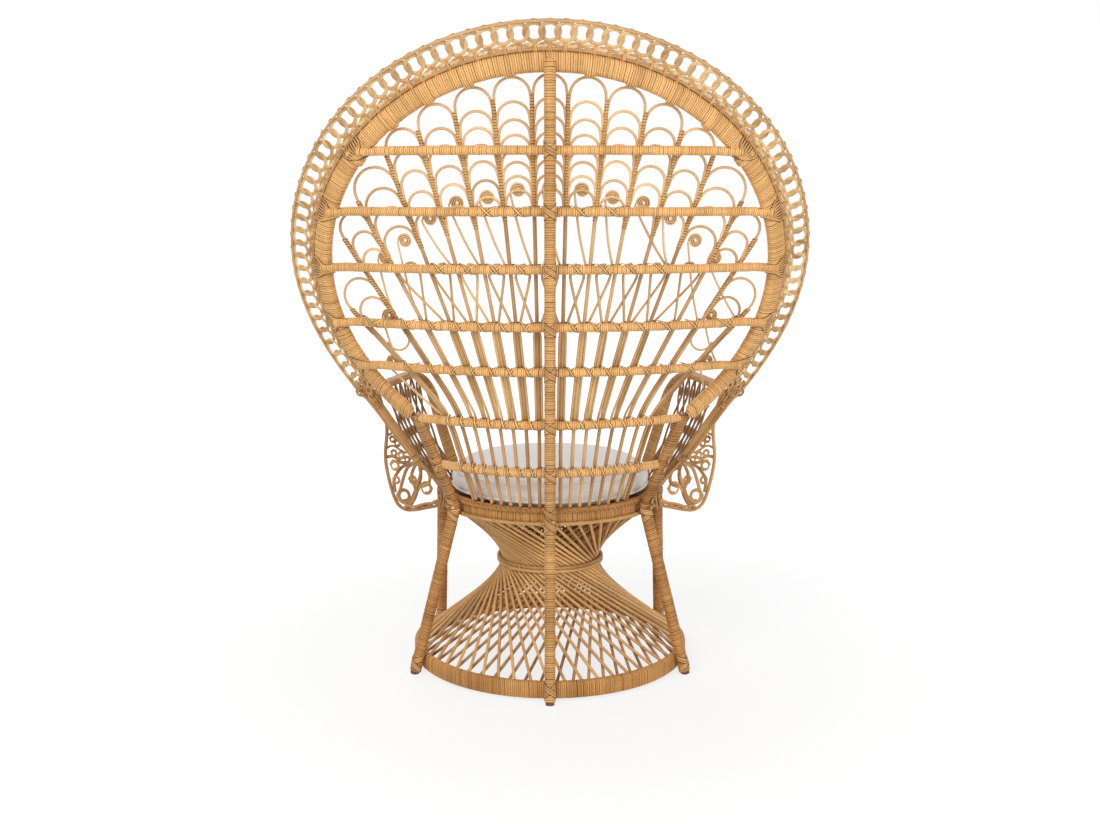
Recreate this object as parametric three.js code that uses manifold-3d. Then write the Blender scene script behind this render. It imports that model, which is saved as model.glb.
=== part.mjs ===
// Peacock chair of wrapped rattan: a twisted cane base, a round seat with a loose cushion, a fan back
// inside an oval rim, a lace border and two arms. Millimetres, +Z up, the sitter faces -Y.

import * as THREE from 'three';
import Module from 'manifold-3d';
import { mergeVertices } from 'three/addons/utils/BufferGeometryUtils.js';

const wasm = await Module();
wasm.setup();

// Gap left between pieces that touch
const clearance = 0.3;

// Base: a hoop near the floor and two layers of straight canes that twist opposite ways to a waist
const baseHoopRadius = 342;
const baseHoopHeight = 38;
const baseHoopThickness = 20;
const baseHoopLift = 8;
const bandEdge = 4;
const baseCaneCount = 52;
const baseCaneSectors = 4;
const baseCaneDiameter = 8.8;
const innerFootLap = 20;
const innerHeadLap = 11.5;
const caneLayerSpacing = 12.3;
const waistHoopRadius = 133;
const waistStrandDiameter = 8.5;

// Seat: a wrapped band between two trim canes, a woven deck and a round cushion
const seatHoopRadius = 259;
const seatHoopHeight = 40;
const seatHoopThickness = 19;
const seatHoopTop = 433.5;
const seatTrimDiameter = 9;
const seatTrimSpacing = 31;
const seatDeckThickness = 8;
const cushionRadius = 246;
const cushionEdgeHeight = 56;
const cushionCrown = 14;
const cushionPull = 6;
const cushionPiping = 3;

// Poles: the spine behind the back and four legs, with their angles counted from the rear
const spineDiameter = 25.5;
const legDiameter = 28;
const rearLegFootAngle = 63;
const rearLegSeatAngle = 54;
const frontLegFootAngle = 125;
const frontLegSeatAngle = 105;

// Back surface: it starts on the seat's circle, leans back and opens out as it rises
const backRadius = 268;
const backLevel = 420;
const backLean = 9.5;
const backTopBend = 0.0007;
const backBendFade = 280;

// Rim: an oval of two poles wrapped side by side, open below
const rimHalfWidth = 512;
const rimHalfHeight = 434;
const rimCentreHeight = 980;
const rimWidth = 42.5;
const rimThickness = 26;
const rimEndAngle = 141.5;

// Rails across the back, from the top down, and the stiles that carry the lowest one
const railDiameter = 20;
const railHeights = [1238, 1110, 986, 859, 758, 636, 522];
const stileRail = 5;
const stileInset = 12.73;
const stileWidth = 34;
const stileThickness = 20;

// Fan: ribs that rise from the seat, spread at a knee and meet the rim
const ribCount = 8;
const ribDiameter = 10;
const ribSeatStart = 25;
const ribSeatPitch = 23.5;
const ribKneeStart = 25;
const ribKneePitch = 31.5;
const ribKneeHeight = 650;
const ribKneeRound = 60;
const ribRimAngles = [4.5, 14.5, 25, 36, 47.5, 63.5, 77, 100];
const ribRimLap = 9;
const ribSlack = 2.1;

// Fan filling: arches stacked between two ribs, a scroll below them and canes that cross to the ribs
const archCaneDiameter = 6;
const archPitch = 36;
const archCounts = [7, 7, 6, 5, 4, 3, 2];
const archCountCentre = 7;
const scrollRadius = 18;
const scrollEye = 4;
const scrollTurns = 1.5;
const scrollDrop = 50;
const strandDiameter = 5;

// Lace border: interlocked rings in two layers between an inner rod and a pair of outer canes
const borderWidth = 67;
const borderTilt = 8;
const borderEndAngle = 126;
const laceRodDiameter = 8;
const laceOuterDiameter = 5.2;
const laceRingPitch = 32;
const laceRingLength = 45;
const laceRingCane = 6.5;
const laceRingThickness = 2.8;
const laceLayerGap = 1.4;

// Arms: a wrapped rail from the rim to the front of the seat, a stem, a skirt with curls and a lattice
const armRimAngle = 133;
const armRailWidth = 32;
const armRailThickness = 18;
const armLine = [[412, 30, 680], [392, -100, 680], [352, -195, 680], [318, -245, 635]];
const armRimLap = 6;
const armPostBend = 0.4;
const armPostAngle = 124;
const armStemCane = 8;
const armStemCanes = 3;
const armStemPitch = 7.2;
const armStemAngle = 76;
const armStemHeadAngle = 129.5;
const armStemHeadReach = 40;
const armStemKnee = 0.62;
const armSkirtCane = 9;
const armSkirtAngle = 86;
const armSkirtStart = 0.24;
const armSkirtLine = [[406, -15, 581], [414, -45, 482], [392, -60, 383], [359, -55, 354.5], [319, -22, 370]];
const armCurlRadius = 19;
const armCurlPlaces = [0.28, 0.58, 0.88];
const armLatticeCane = 7;
const armLatticeCount = 2;
const armLatticeAngles = [90, 118];
const armLatticePlaces = [0.26, 0.56];
const armLatticeLean = 1.4;

// Facets: more of them make the same shapes smoother
const hoopFacets = 28;
const waistFacets = 16;
const rimFacets = 36;
const railFacets = 10;
const cushionFacets = 24;
const poleSides = 8;
const railSides = 6;
const caneSides = 4;
const strandSides = 3;
const archFacets = 4;
const armFacets = 12;
const stemFacets = 4;
const rimEdgeFacets = 4;
const edgeFacets = 2;
const ribStep = 150;
const scrollFacets = 5;
const ringFacets = 8;

const degree = Math.PI / 180;
const up = new THREE.Vector3(0, 0, 1);

const rattanPeel = new THREE.MeshStandardMaterial({ color: 0xcb975b, roughness: 0.55, metalness: 0 });
const rattanCane = new THREE.MeshStandardMaterial({ color: 0xc79a5f, roughness: 0.5, metalness: 0 });
const wovenDeck = new THREE.MeshStandardMaterial({ color: 0xa97b48, roughness: 0.7, metalness: 0 });
const cushionCloth = new THREE.MeshStandardMaterial({ color: 0xe6e3e0, roughness: 0.9, metalness: 0 });

const chair = new THREE.Group();

// Closed solid from a geometry, with its shared vertices joined and its faces turned outwards
function solid(geometry) {
  geometry.deleteAttribute('normal');
  geometry.deleteAttribute('uv');
  const joined = mergeVertices(geometry, 1e-3);
  const places = joined.attributes.position.array;
  const corner = (i) => new THREE.Vector3().fromArray(places, 3 * i);
  const faces = [];
  let volume = 0;
  for (let i = 0; i < joined.index.count; i += 3) {
    const [a, b, c] = joined.index.array.slice(i, i + 3);
    if (a !== b && b !== c && c !== a) {
      faces.push([a, b, c]);
      volume += corner(a).dot(corner(b).cross(corner(c)));
    }
  }
  const outward = volume > 0 ? faces : faces.map(([a, b, c]) => [a, c, b]);
  const vertProperties = Float32Array.from(places);
  const triVerts = Uint32Array.from(outward.flat());
  return new wasm.Manifold(new wasm.Mesh({ numProp: 3, vertProperties, triVerts }));
}

function join(bodies) {
  return bodies.reduce((whole, body) => whole.add(body));
}

function cut(body, cutters) {
  return cutters.reduce((rest, cutter) => rest.subtract(cutter), body);
}

function addPiece(name, body, material) {
  const { vertProperties, triVerts } = body.getMesh();
  const geometry = new THREE.BufferGeometry();
  geometry.setAttribute('position', new THREE.BufferAttribute(vertProperties, 3));
  geometry.setIndex(new THREE.BufferAttribute(triVerts, 1));
  geometry.computeVertexNormals();
  const mesh = new THREE.Mesh(geometry, material);
  mesh.name = name;
  chair.add(mesh);
}

// Path through given points whose section keeps its width along a wanted direction. Each joint is
// mitred, and an end can be cut square to a direction given for its place instead of to the path.
class GuidedPath extends THREE.Curve {
  constructor(points, widthAt, endCut) {
    super();
    this.points = points;
    this.widthAt = widthAt;
    this.endCut = endCut;
  }

  getPoint(t) {
    const place = t * (this.points.length - 1);
    const first = Math.min(Math.floor(place), this.points.length - 2);
    return this.points[first].clone().lerp(this.points[first + 1], place - first);
  }

  getSpacedPoints() {
    return this.points;
  }

  computeFrenetFrames() {
    const heading = (i) => this.points[i + 1].clone().sub(this.points[i]).normalize();
    const last = this.points.length - 1;
    const frames = { tangents: [], normals: [], binormals: [] };
    this.points.forEach((point, i) => {
      const tangent = heading(Math.max(i - 1, 0));
      const isEnd = i === 0 || i === last;
      const mitre = isEnd ? this.endCut?.(point) ?? tangent : tangent.clone().add(heading(i)).normalize();
      const width = this.widthAt(point, i);
      const normal = width.clone().addScaledVector(tangent, -width.dot(tangent)).normalize();
      const binormal = tangent.clone().cross(normal);
      for (const side of [normal, binormal]) {
        side.addScaledVector(tangent, -side.dot(mitre) / tangent.dot(mitre));
      }
      frames.tangents.push(tangent);
      frames.normals.push(normal);
      frames.binormals.push(binormal);
    });
    return frames;
  }
}

function sweep(section, points, widthAt, endCut) {
  const path = new GuidedPath(points, widthAt, endCut);
  return solid(new THREE.ExtrudeGeometry(section, { steps: points.length - 1, extrudePath: path }));
}

function roundPoints(diameter, sides) {
  const centre = new THREE.Vector2();
  const corner = (i) => new THREE.Vector2(diameter / 2, 0).rotateAround(centre, i * 2 * Math.PI / sides);
  return Array.from({ length: sides }, (_, i) => corner(i));
}

function roundSection(diameter, sides) {
  return new THREE.Shape(roundPoints(diameter, sides));
}

// Section of two round poles wrapped side by side: straight faces and half round edges
function wrappedPoints(width, thickness, facets) {
  const points = [];
  for (const side of [1, -1]) {
    for (let i = 0; i <= facets; i += 1) {
      const angle = (i / facets - 0.5) * Math.PI;
      const x = (width - thickness) / 2 + Math.cos(angle) * thickness / 2;
      points.push(new THREE.Vector2(side * x, side * Math.sin(angle) * thickness / 2));
    }
  }
  return points;
}

function wrappedSection(width, thickness, facets) {
  return new THREE.Shape(wrappedPoints(width, thickness, facets));
}

// Hoop about the vertical axis from a section given as radius and height
function hoop(section, facets) {
  return solid(new THREE.LatheGeometry([...section, section[0]], facets).rotateX(Math.PI / 2));
}

function standingSection(height, thickness, outerRadius, middle, facets) {
  const place = (p) => new THREE.Vector2(outerRadius - thickness / 2 + p.y, middle + p.x);
  return wrappedPoints(height, thickness, facets).map(place);
}

// Section of a wrapped band: upright faces with chamfered edges
function bandSection(height, thickness, outerRadius, middle) {
  const points = [];
  for (const [x, y] of [[1, 1], [-1, 1], [-1, -1], [1, -1]]) {
    const face = new THREE.Vector2(x * thickness / 2, y * (height / 2 - bandEdge));
    const edge = new THREE.Vector2(x * (thickness / 2 - bandEdge), y * height / 2);
    points.push(...(x * y > 0 ? [face, edge] : [edge, face]));
  }
  return points.map((p) => p.add(new THREE.Vector2(outerRadius - thickness / 2, middle)));
}

// Share of a hoop's radius that its flat facets have at an angle from the rear
function facetShare(angle) {
  const half = 180 / hoopFacets;
  const off = THREE.MathUtils.euclideanModulo(angle, 2 * half) - half;
  return Math.cos(half * degree) / Math.cos(off * degree);
}

function samples(count, at) {
  return Array.from({ length: count + 1 }, (_, i) => at(i / count));
}

// Point at an angle from the rear, positive towards the sitter's left
function around(radius, angle, height) {
  return new THREE.Vector3(radius * Math.sin(angle * degree), radius * Math.cos(angle * degree), height);
}

function outwards(point) {
  return new THREE.Vector3(point.x, point.y, 0).normalize();
}

// Back surface through the middle of the rails: depth, rearward normal and a point off the surface
function backDepth(x, z) {
  const fade = Math.exp(-Math.max(z - backLevel, 0) / backBendFade);
  const bend = backTopBend + (1 / backRadius - backTopBend) * fade;
  const flank = Math.sqrt(Math.max(1 - (bend * x) ** 2, 0.02));
  return backRadius + (z - backLevel) * Math.tan(backLean * degree) - bend * x * x / (1 + flank);
}

function backNormal(x, z) {
  const step = 0.5;
  const slopeX = (backDepth(x + step, z) - backDepth(x - step, z)) / (2 * step);
  const slopeZ = (backDepth(x, z + step) - backDepth(x, z - step)) / (2 * step);
  return new THREE.Vector3(-slopeX, 1, -slopeZ).normalize();
}

function onBack(x, z, out) {
  return new THREE.Vector3(x, backDepth(x, z), z).addScaledVector(backNormal(x, z), out);
}

const backWidthAt = (point) => backNormal(point.x, point.z);

// Base hoop and the waist hoop that binds the canes
const baseHoopMiddle = baseHoopLift + baseHoopHeight / 2;
const baseHoopTop = baseHoopLift + baseHoopHeight;
const baseHoopSection = bandSection(baseHoopHeight, baseHoopThickness, baseHoopRadius, baseHoopMiddle);
addPiece('base_hoop', hoop(baseHoopSection, hoopFacets), rattanPeel);

const seatHoopMiddle = seatHoopTop - seatHoopHeight / 2;
const seatHoopBottom = seatHoopTop - seatHoopHeight;
const caneFootRadius = baseHoopRadius - baseHoopThickness / 2;
const caneHeadRadius = seatHoopRadius - seatHoopThickness / 2;
const caneFoot = baseHoopTop + clearance;
const caneHead = seatHoopBottom - clearance;
const waistRadius = waistHoopRadius - waistStrandDiameter - clearance - baseCaneDiameter / 2;
const caneFootRun = Math.sqrt(caneFootRadius ** 2 - waistRadius ** 2);
const caneHeadRun = Math.sqrt(caneHeadRadius ** 2 - waistRadius ** 2);
const waistHeight = caneFoot + (caneHead - caneFoot) * caneFootRun / (caneFootRun + caneHeadRun);

// The hoop's flat facets, not only their corners, stay clear of the canes inside it
const waistFlat = 1 / Math.cos(Math.PI / waistFacets);
const waistSection = standingSection(
  2 * waistStrandDiameter, waistStrandDiameter, waistHoopRadius, waistHeight, edgeFacets,
).map((p) => new THREE.Vector2(p.x * waistFlat, p.y));
addPiece('waist_hoop', hoop(waistSection, waistFacets), rattanCane);

// Straight canes from hoop to hoop, pressed together where they pass the waist. The outer layer stands
// between the hoops' edges, and the inner one butts on the flats of their inner faces.
const upright = () => up;
const innerFlat = (radius) => radius * Math.cos(Math.PI / hoopFacets) - 1.5 * clearance;
const outerLayer = {
  name: 'base_canes',
  twist: 1,
  shift: 0,
  first: 6,
  endCut: upright,
  waist: waistRadius,
  foot: { radius: caneFootRadius, height: caneFoot },
  head: { radius: caneHeadRadius, height: caneHead },
};
const innerLayer = {
  name: 'base_canes_inner',
  twist: -1,
  shift: 0.5,
  first: 7,
  endCut: outwards,
  waist: waistRadius - caneLayerSpacing,
  foot: { radius: innerFlat(baseHoopRadius - baseHoopThickness), height: baseHoopTop - innerFootLap },
  head: { radius: innerFlat(seatHoopRadius - seatHoopThickness), height: seatHoopBottom + innerHeadLap },
};

function baseCane(layer, index, extra) {
  const angle = (index + layer.shift) * 360 / baseCaneCount;
  const lead = (end) => layer.twist * Math.acos(layer.waist / end.radius) / degree;
  const foot = around(layer.foot.radius, angle - lead(layer.foot), layer.foot.height);
  const head = around(layer.head.radius, angle + lead(layer.head), layer.head.height);
  const inward = around(1, angle, 0);
  const section = roundSection(baseCaneDiameter + 2 * extra, caneSides);
  return sweep(section, [foot, head], () => inward, layer.endCut);
}

// A quarter begins at its layer's first cane, so that its feet and its waist each lie along one side
const sectorSize = baseCaneCount / baseCaneSectors;
for (const layer of [outerLayer, innerLayer]) {
  for (let sector = 0; sector < baseCaneSectors; sector += 1) {
    const first = layer.first + sector * sectorSize;
    const canes = join(Array.from({ length: sectorSize }, (_, i) => baseCane(layer, first + i, 0)));
    const neighbour = baseCane(layer, first + sectorSize, clearance);
    addPiece(`${layer.name}_${sector + 1}`, cut(canes, [neighbour]), rattanCane);
  }
}

// Seat hoop with its trim canes and deck
const seatSection = bandSection(seatHoopHeight, seatHoopThickness, seatHoopRadius, seatHoopMiddle);
addPiece('seat_hoop', hoop(seatSection, hoopFacets), rattanPeel);

const seatTrimOuter = seatHoopRadius + clearance + seatTrimDiameter;
const seatTrimUpper = seatHoopMiddle + seatTrimSpacing / 2;
const seatTrimLower = seatHoopMiddle - seatTrimSpacing / 2;
for (const [name, height] of [['seat_trim_upper', seatTrimUpper], ['seat_trim_lower', seatTrimLower]]) {
  const middle = new THREE.Vector2(seatTrimOuter - seatTrimDiameter / 2, height);
  const section = roundPoints(seatTrimDiameter, caneSides).map((p) => p.add(middle));
  addPiece(name, hoop(section, hoopFacets), rattanCane);
}

// The deck lies inside the band's straight inner face, between its rounded edges
const deckRadius = seatHoopRadius - seatHoopThickness - clearance;
const deckTop = seatHoopTop - seatHoopThickness / 2;
const deckBottom = deckTop - seatDeckThickness;
const deckProfile = [
  new THREE.Vector2(0, deckBottom),
  new THREE.Vector2(deckRadius, deckBottom),
  new THREE.Vector2(deckRadius, deckTop),
  new THREE.Vector2(0, deckTop),
];
addPiece('seat_deck', hoop(deckProfile, hoopFacets), wovenDeck);

// Cushion: a foot that rests on the deck, piped edges, sides drawn in between them and a crown
const cushionFoot = deckTop + clearance;
const cushionSeam = seatHoopTop + cushionPiping;
const cushionRestRadius = deckRadius - seatHoopThickness / 2;
const cushionProfile = [
  new THREE.Vector2(0, cushionFoot),
  new THREE.Vector2(cushionRestRadius, cushionFoot),
  new THREE.Vector2(deckRadius - clearance, seatHoopTop + clearance),
  new THREE.Vector2(cushionRadius, cushionSeam),
  new THREE.Vector2(cushionRadius - cushionPiping, cushionSeam + cushionPiping),
  new THREE.Vector2(cushionRadius - cushionPull, cushionSeam + cushionEdgeHeight / 2),
  new THREE.Vector2(cushionRadius - cushionPiping, cushionSeam + cushionEdgeHeight - cushionPiping),
  new THREE.Vector2(cushionRadius, cushionSeam + cushionEdgeHeight),
];
const crownSteps = 6;
for (let i = 1; i <= crownSteps; i += 1) {
  const angle = i / crownSteps * Math.PI / 2;
  const radius = (cushionRadius - cushionPiping) * Math.cos(angle);
  const height = cushionSeam + cushionEdgeHeight + cushionCrown * Math.sin(angle);
  cushionProfile.push(new THREE.Vector2(i === crownSteps ? 0 : radius, height));
}
addPiece('seat_cushion', hoop(cushionProfile, cushionFacets), cushionCloth);

// Rim: its frame at an angle from the top, positive towards the sitter's left
function rimPlane(angle, out) {
  const x = Math.sin(angle * degree);
  const z = Math.cos(angle * degree);
  const normal = new THREE.Vector2(x / rimHalfWidth, z / rimHalfHeight).normalize();
  const middle = new THREE.Vector2(rimHalfWidth * x, rimCentreHeight + rimHalfHeight * z);
  return middle.addScaledVector(normal, out);
}

function rimFrame(angle) {
  const step = 0.05;
  const place = (a) => {
    const p = rimPlane(a, 0);
    return onBack(p.x, p.y, 0);
  };
  const middle = place(angle);
  const rear = backNormal(middle.x, middle.z);
  const along = place(angle + step).sub(place(angle - step)).normalize();
  const outer = along.clone().cross(rear);
  return { middle, rear, along, outer };
}

const rimAngles = samples(rimFacets, (t) => (2 * t - 1) * rimEndAngle);
function rimBody(extra) {
  const section = wrappedSection(rimWidth + 2 * extra, rimThickness + 2 * extra, rimEdgeFacets);
  const frames = rimAngles.map(rimFrame);
  return sweep(section, frames.map((f) => f.middle), (_, i) => frames[i].outer);
}
const rimCutter = rimBody(clearance);
addPiece('back_rim', rimBody(0), rattanPeel);

// Rails follow the back from side to side and butt on the rim's inner edge. The one that the rim stops
// at ends a little inside the rim's end.
const stileReach = rimPlane(rimEndAngle, 0).x - stileInset;

function railReach(index) {
  if (index >= stileRail) {
    return stileReach;
  }
  const height = (railHeights[index] - rimCentreHeight) / rimHalfHeight;
  return rimHalfWidth * Math.sqrt(1 - height * height);
}

function railBody(index, reach, extra) {
  const points = samples(railFacets, (t) => onBack((2 * t - 1) * reach, railHeights[index], 0));
  return sweep(roundSection(railDiameter + 2 * extra, railSides), points, () => up);
}

railHeights.slice(0, stileRail + 1).forEach((_, i) => {
  addPiece(`back_rail_${i + 1}`, cut(railBody(i, railReach(i), 0), [rimCutter]), rattanPeel);
});

// Poles lean from outside the base hoop to outside the seat trims and stand flat on the floor
const baseContact = baseHoopTop - bandEdge;
const legLean = Math.atan2(baseHoopRadius - seatTrimOuter, seatTrimLower - baseContact);
const legOff = (clearance + legDiameter / 2) / Math.cos(legLean);

function onLeg(side, footAngle, seatAngle, height) {
  const foot = around(baseHoopRadius * facetShare(footAngle) + legOff, side * footAngle, baseContact);
  const seat = around(seatTrimOuter * facetShare(seatAngle) + legOff, side * seatAngle, seatTrimLower);
  const t = (height - foot.z) / (seat.z - foot.z);
  return foot.lerp(seat, t);
}

function legBody(side, footAngle, seatAngle) {
  const foot = onLeg(side, footAngle, seatAngle, 0);
  const top = onLeg(side, footAngle, seatAngle, seatHoopMiddle - clearance / 2);
  return sweep(roundSection(legDiameter, poleSides), [foot, top], outwards, upright);
}

// Stiles stand on the rear legs and reach the end of the rail that the rim stops at
function stileBody(side, extra) {
  const foot = onLeg(side, rearLegFootAngle, rearLegSeatAngle, seatHoopMiddle + clearance / 2);
  const end = onBack(side * stileReach, railHeights[stileRail], 0);
  const length = end.distanceTo(foot);
  const head = foot.clone().lerp(end, 1 - (railDiameter / 2 + clearance) / length);
  const section = wrappedSection(stileWidth + 2 * extra, stileThickness + 2 * extra, edgeFacets);
  const acrossBack = up.clone().cross(backNormal(foot.x, railHeights[stileRail]));
  return sweep(section, [foot, head], () => acrossBack, upright);
}

const lowRail = railHeights.length - 1;
const stileCutters = [];
for (const [word, side] of [['left', 1], ['right', -1]]) {
  addPiece(`leg_rear_${word}`, legBody(side, rearLegFootAngle, rearLegSeatAngle), rattanPeel);
  addPiece(`leg_front_${word}`, legBody(side, frontLegFootAngle, frontLegSeatAngle), rattanPeel);
  const railCutter = railBody(stileRail, stileReach, clearance);
  addPiece(`side_stile_${word}`, cut(stileBody(side, 0), [railCutter, rimCutter]), rattanPeel);
  stileCutters.push(stileBody(side, clearance));
}

const lowT = (railHeights[lowRail] - seatHoopMiddle) / (railHeights[stileRail] - seatHoopMiddle);
const stileFoot = onLeg(1, rearLegFootAngle, rearLegSeatAngle, seatHoopMiddle);
const lowReach = stileFoot.x * (1 - lowT) + stileReach * lowT;
addPiece(`back_rail_${lowRail + 1}`, cut(railBody(lowRail, lowReach, 0), stileCutters), rattanPeel);

// The spine stands outside the base hoop, bends at the seat and lies on the rails up to the rim
const spineOff = railDiameter / 2 + clearance + spineDiameter / 2;
const spineFootRadius = baseHoopRadius + clearance + spineDiameter / 2;
const spineKnee = onBack(0, seatHoopMiddle, spineOff);
const spineContact = new THREE.Vector3(0, spineFootRadius, baseContact);
const spineFoot = spineContact.clone().lerp(spineKnee, -baseContact / (spineKnee.z - baseContact));
const spineHead = onBack(0, rimCentreHeight + rimHalfHeight, spineOff);
const sideways = new THREE.Vector3(1, 0, 0);
const spineLine = [spineFoot, spineKnee, spineHead];
const spine = sweep(roundSection(spineDiameter, poleSides), spineLine, () => sideways, upright);
addPiece('spine_post', cut(spine, [rimCutter]), rattanPeel);

// Fan ribs lie on the sitter's side of the rails: straight from the seat to a knee, then to the rim
const fanLayer = -(railDiameter / 2 + ribSlack + ribDiameter / 2);
const ribStart = seatHoopTop + clearance;

function ribSpan(side, k) {
  const seat = new THREE.Vector2(side * (ribSeatStart + k * ribSeatPitch), ribStart);
  const knee = new THREE.Vector2(side * (ribKneeStart + k * ribKneePitch), ribKneeHeight);
  const rim = rimPlane(side * ribRimAngles[k], ribRimLap - rimWidth / 2);
  return { seat, knee, rim };
}

function ribAtHeight(side, k, z) {
  const { seat, knee, rim } = ribSpan(side, k);
  const [low, high] = z < knee.y ? [seat, knee] : [knee, rim];
  return low.clone().lerp(high, (z - low.y) / (high.y - low.y));
}

const onFan = (p) => onBack(p.x, p.y, fanLayer);

function ribBody(side, k) {
  const { seat, knee, rim } = ribSpan(side, k);
  const before = knee.clone().lerp(seat, ribKneeRound / knee.distanceTo(seat));
  const after = knee.clone().lerp(rim, ribKneeRound / knee.distanceTo(rim));
  const bend = new THREE.QuadraticBezierCurve(before, knee, after);
  const steps = Math.max(2, Math.round(after.distanceTo(rim) / ribStep));
  const outline = [
    ...samples(2, (t) => seat.clone().lerp(before, t)).slice(0, -1),
    ...bend.getPoints(2),
    ...samples(steps, (t) => after.clone().lerp(rim, t)).slice(1),
  ];
  return sweep(roundSection(ribDiameter, caneSides), outline.map(onFan), backWidthAt, upright);
}

function fanCane(diameter, outline) {
  return sweep(roundSection(diameter, strandSides), outline.map(onFan), backWidthAt);
}

// Half round arch between two points, rising along a given direction
function archOutline(start, end, rise) {
  const middle = start.clone().lerp(end, 0.5);
  const half = end.clone().sub(middle);
  return samples(archFacets, (t) => middle.clone()
    .addScaledVector(half, -Math.cos(t * Math.PI))
    .addScaledVector(rise, half.length() * Math.sin(t * Math.PI)));
}

function insideRim(point, margin) {
  const x = point.x / (rimHalfWidth - rimWidth / 2 - margin);
  const z = (point.y - rimCentreHeight) / (rimHalfHeight - rimWidth / 2 - margin);
  return x * x + z * z < 1;
}

// Column between two ribs: its axis runs up from between their knees, and a level on it has a point
// on the inner rib and a point beside the outer rib
function petalColumn(inner, outer) {
  const headingOf = (rib) => rib.rim.clone().sub(rib.knee).normalize();
  const axis = headingOf(inner).add(headingOf(outer)).normalize();
  const foot = inner.knee.clone().lerp(outer.knee, 0.5);
  const across = (rib, level) => {
    const heading = headingOf(rib);
    const run = (level - rib.knee.clone().sub(foot).dot(axis)) / heading.dot(axis);
    return rib.knee.clone().addScaledVector(heading, run);
  };
  const at = (level) => {
    const start = across(inner, level);
    const rib = across(outer, level);
    const stop = (ribDiameter / 2 + clearance + archCaneDiameter / 2) / headingOf(outer).dot(axis);
    const end = rib.clone().lerp(start, stop / rib.distanceTo(start));
    return { start, end };
  };
  return { axis, at };
}

// One petal: arches from the inner rib to the outer one, a scroll and a cane that crosses below it
function petal(inner, outer, innerAt, outerAt, arches) {
  const { axis, at } = petalColumn(inner, outer);
  const archAt = (level) => archOutline(at(level).start, at(level).end, axis);
  const widthAt = (level) => at(level).start.distanceTo(at(level).end);
  const fits = (level) => archAt(level).every((p) => insideRim(p, archCaneDiameter / 2 + clearance));
  const reachOf = (rib) => rib.rim.distanceTo(rib.knee);
  let level = Math.ceil(Math.max(reachOf(inner), reachOf(outer)));
  while (!fits(level)) {
    level -= 1;
  }
  const bodies = [];
  for (let i = 0; i < arches; i += 1) {
    bodies.push(fanCane(archCaneDiameter, archAt(level)));
    const spread = widthAt(level) - widthAt(level - 1);
    level -= i + 1 < arches ? archPitch / (1 + spread / 2) : 0;
  }
  const lowest = archAt(level)[archFacets / 2];
  const eye = lowest.addScaledVector(axis, -archCaneDiameter - scrollRadius);
  const aside = at(level).end.sub(at(level).start).normalize();
  const turn = Math.sign(axis.x * aside.y - axis.y * aside.x);
  const scroll = samples(Math.round(scrollTurns * scrollFacets), (t) => {
    const radius = scrollRadius + (scrollEye - scrollRadius) * t;
    const angle = -turn * t * scrollTurns * 2 * Math.PI;
    return aside.clone().rotateAround(new THREE.Vector2(), angle).multiplyScalar(radius).add(eye);
  });
  const railBelow = railHeights.findIndex((height) => height < eye.y - scrollDrop);
  const start = innerAt(railHeights[railBelow]);
  const rib = outerAt(railHeights[railBelow + 1]);
  const opposite = innerAt(railHeights[railBelow + 1]);
  const stop = ribDiameter / 2 + clearance + strandDiameter;
  const end = rib.clone().lerp(opposite, stop / rib.distanceTo(opposite));
  bodies.push(fanCane(strandDiameter, [start, ...scroll]));
  bodies.push(fanCane(strandDiameter, samples(2, (t) => start.clone().lerp(end, t))));
  return bodies;
}

for (const [word, side] of [['left', 1], ['right', -1]]) {
  for (let k = 0; k < ribCount; k += 1) {
    const bodies = [cut(ribBody(side, k), [rimCutter])];
    const innerAt = (z) => ribAtHeight(side, k, z);
    if (k + 1 < ribCount) {
      const outerAt = (z) => ribAtHeight(side, k + 1, z);
      bodies.push(...petal(ribSpan(side, k), ribSpan(side, k + 1), innerAt, outerAt, archCounts[k]));
    }
    if (k === 0 && side === 1) {
      const mirrorAt = (z) => ribAtHeight(-side, 0, z);
      bodies.push(...petal(ribSpan(side, 0), ribSpan(-side, 0), innerAt, mirrorAt, archCountCentre));
    }
    addPiece(`fan_rib_${word}_${k + 1}`, join(bodies), rattanCane);
  }
}

// Lace border: a strip that goes on from the rim's outer edge, tilted back a little
function onBorder(angle, across, out) {
  const { middle, rear, outer } = rimFrame(angle);
  const tilt = borderTilt * degree;
  const reach = outer.clone().multiplyScalar(Math.cos(tilt)).addScaledVector(rear, Math.sin(tilt));
  const face = rear.clone().multiplyScalar(Math.cos(tilt)).addScaledVector(outer, -Math.sin(tilt));
  return middle.addScaledVector(outer, (rimWidth - rimThickness) / 2)
    .addScaledVector(reach, rimThickness / 2 + clearance + across)
    .addScaledVector(face, out);
}

function borderRod(diameter, sides, across, out) {
  const inside = rimAngles.filter((angle) => Math.abs(angle) < borderEndAngle - 1);
  const angles = [-borderEndAngle, ...inside, borderEndAngle];
  const points = angles.map((angle) => onBorder(angle, across, out));
  return sweep(roundSection(diameter, sides), points, (_, i) => rimFrame(angles[i]).outer);
}

addPiece('lace_inner_rod', borderRod(laceRodDiameter, caneSides, laceRodDiameter / 2, 0), rattanCane);

const laceOuterAcross = borderWidth - laceOuterDiameter / 2;
const laceLayerOut = (laceLayerGap + laceRingThickness) / 2;
const ringFoot = laceRodDiameter - laceLayerOut + Math.SQRT2 * clearance;
const ringHead = laceOuterAcross;
const ringMiddle = (ringFoot + ringHead) / 2;

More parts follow.
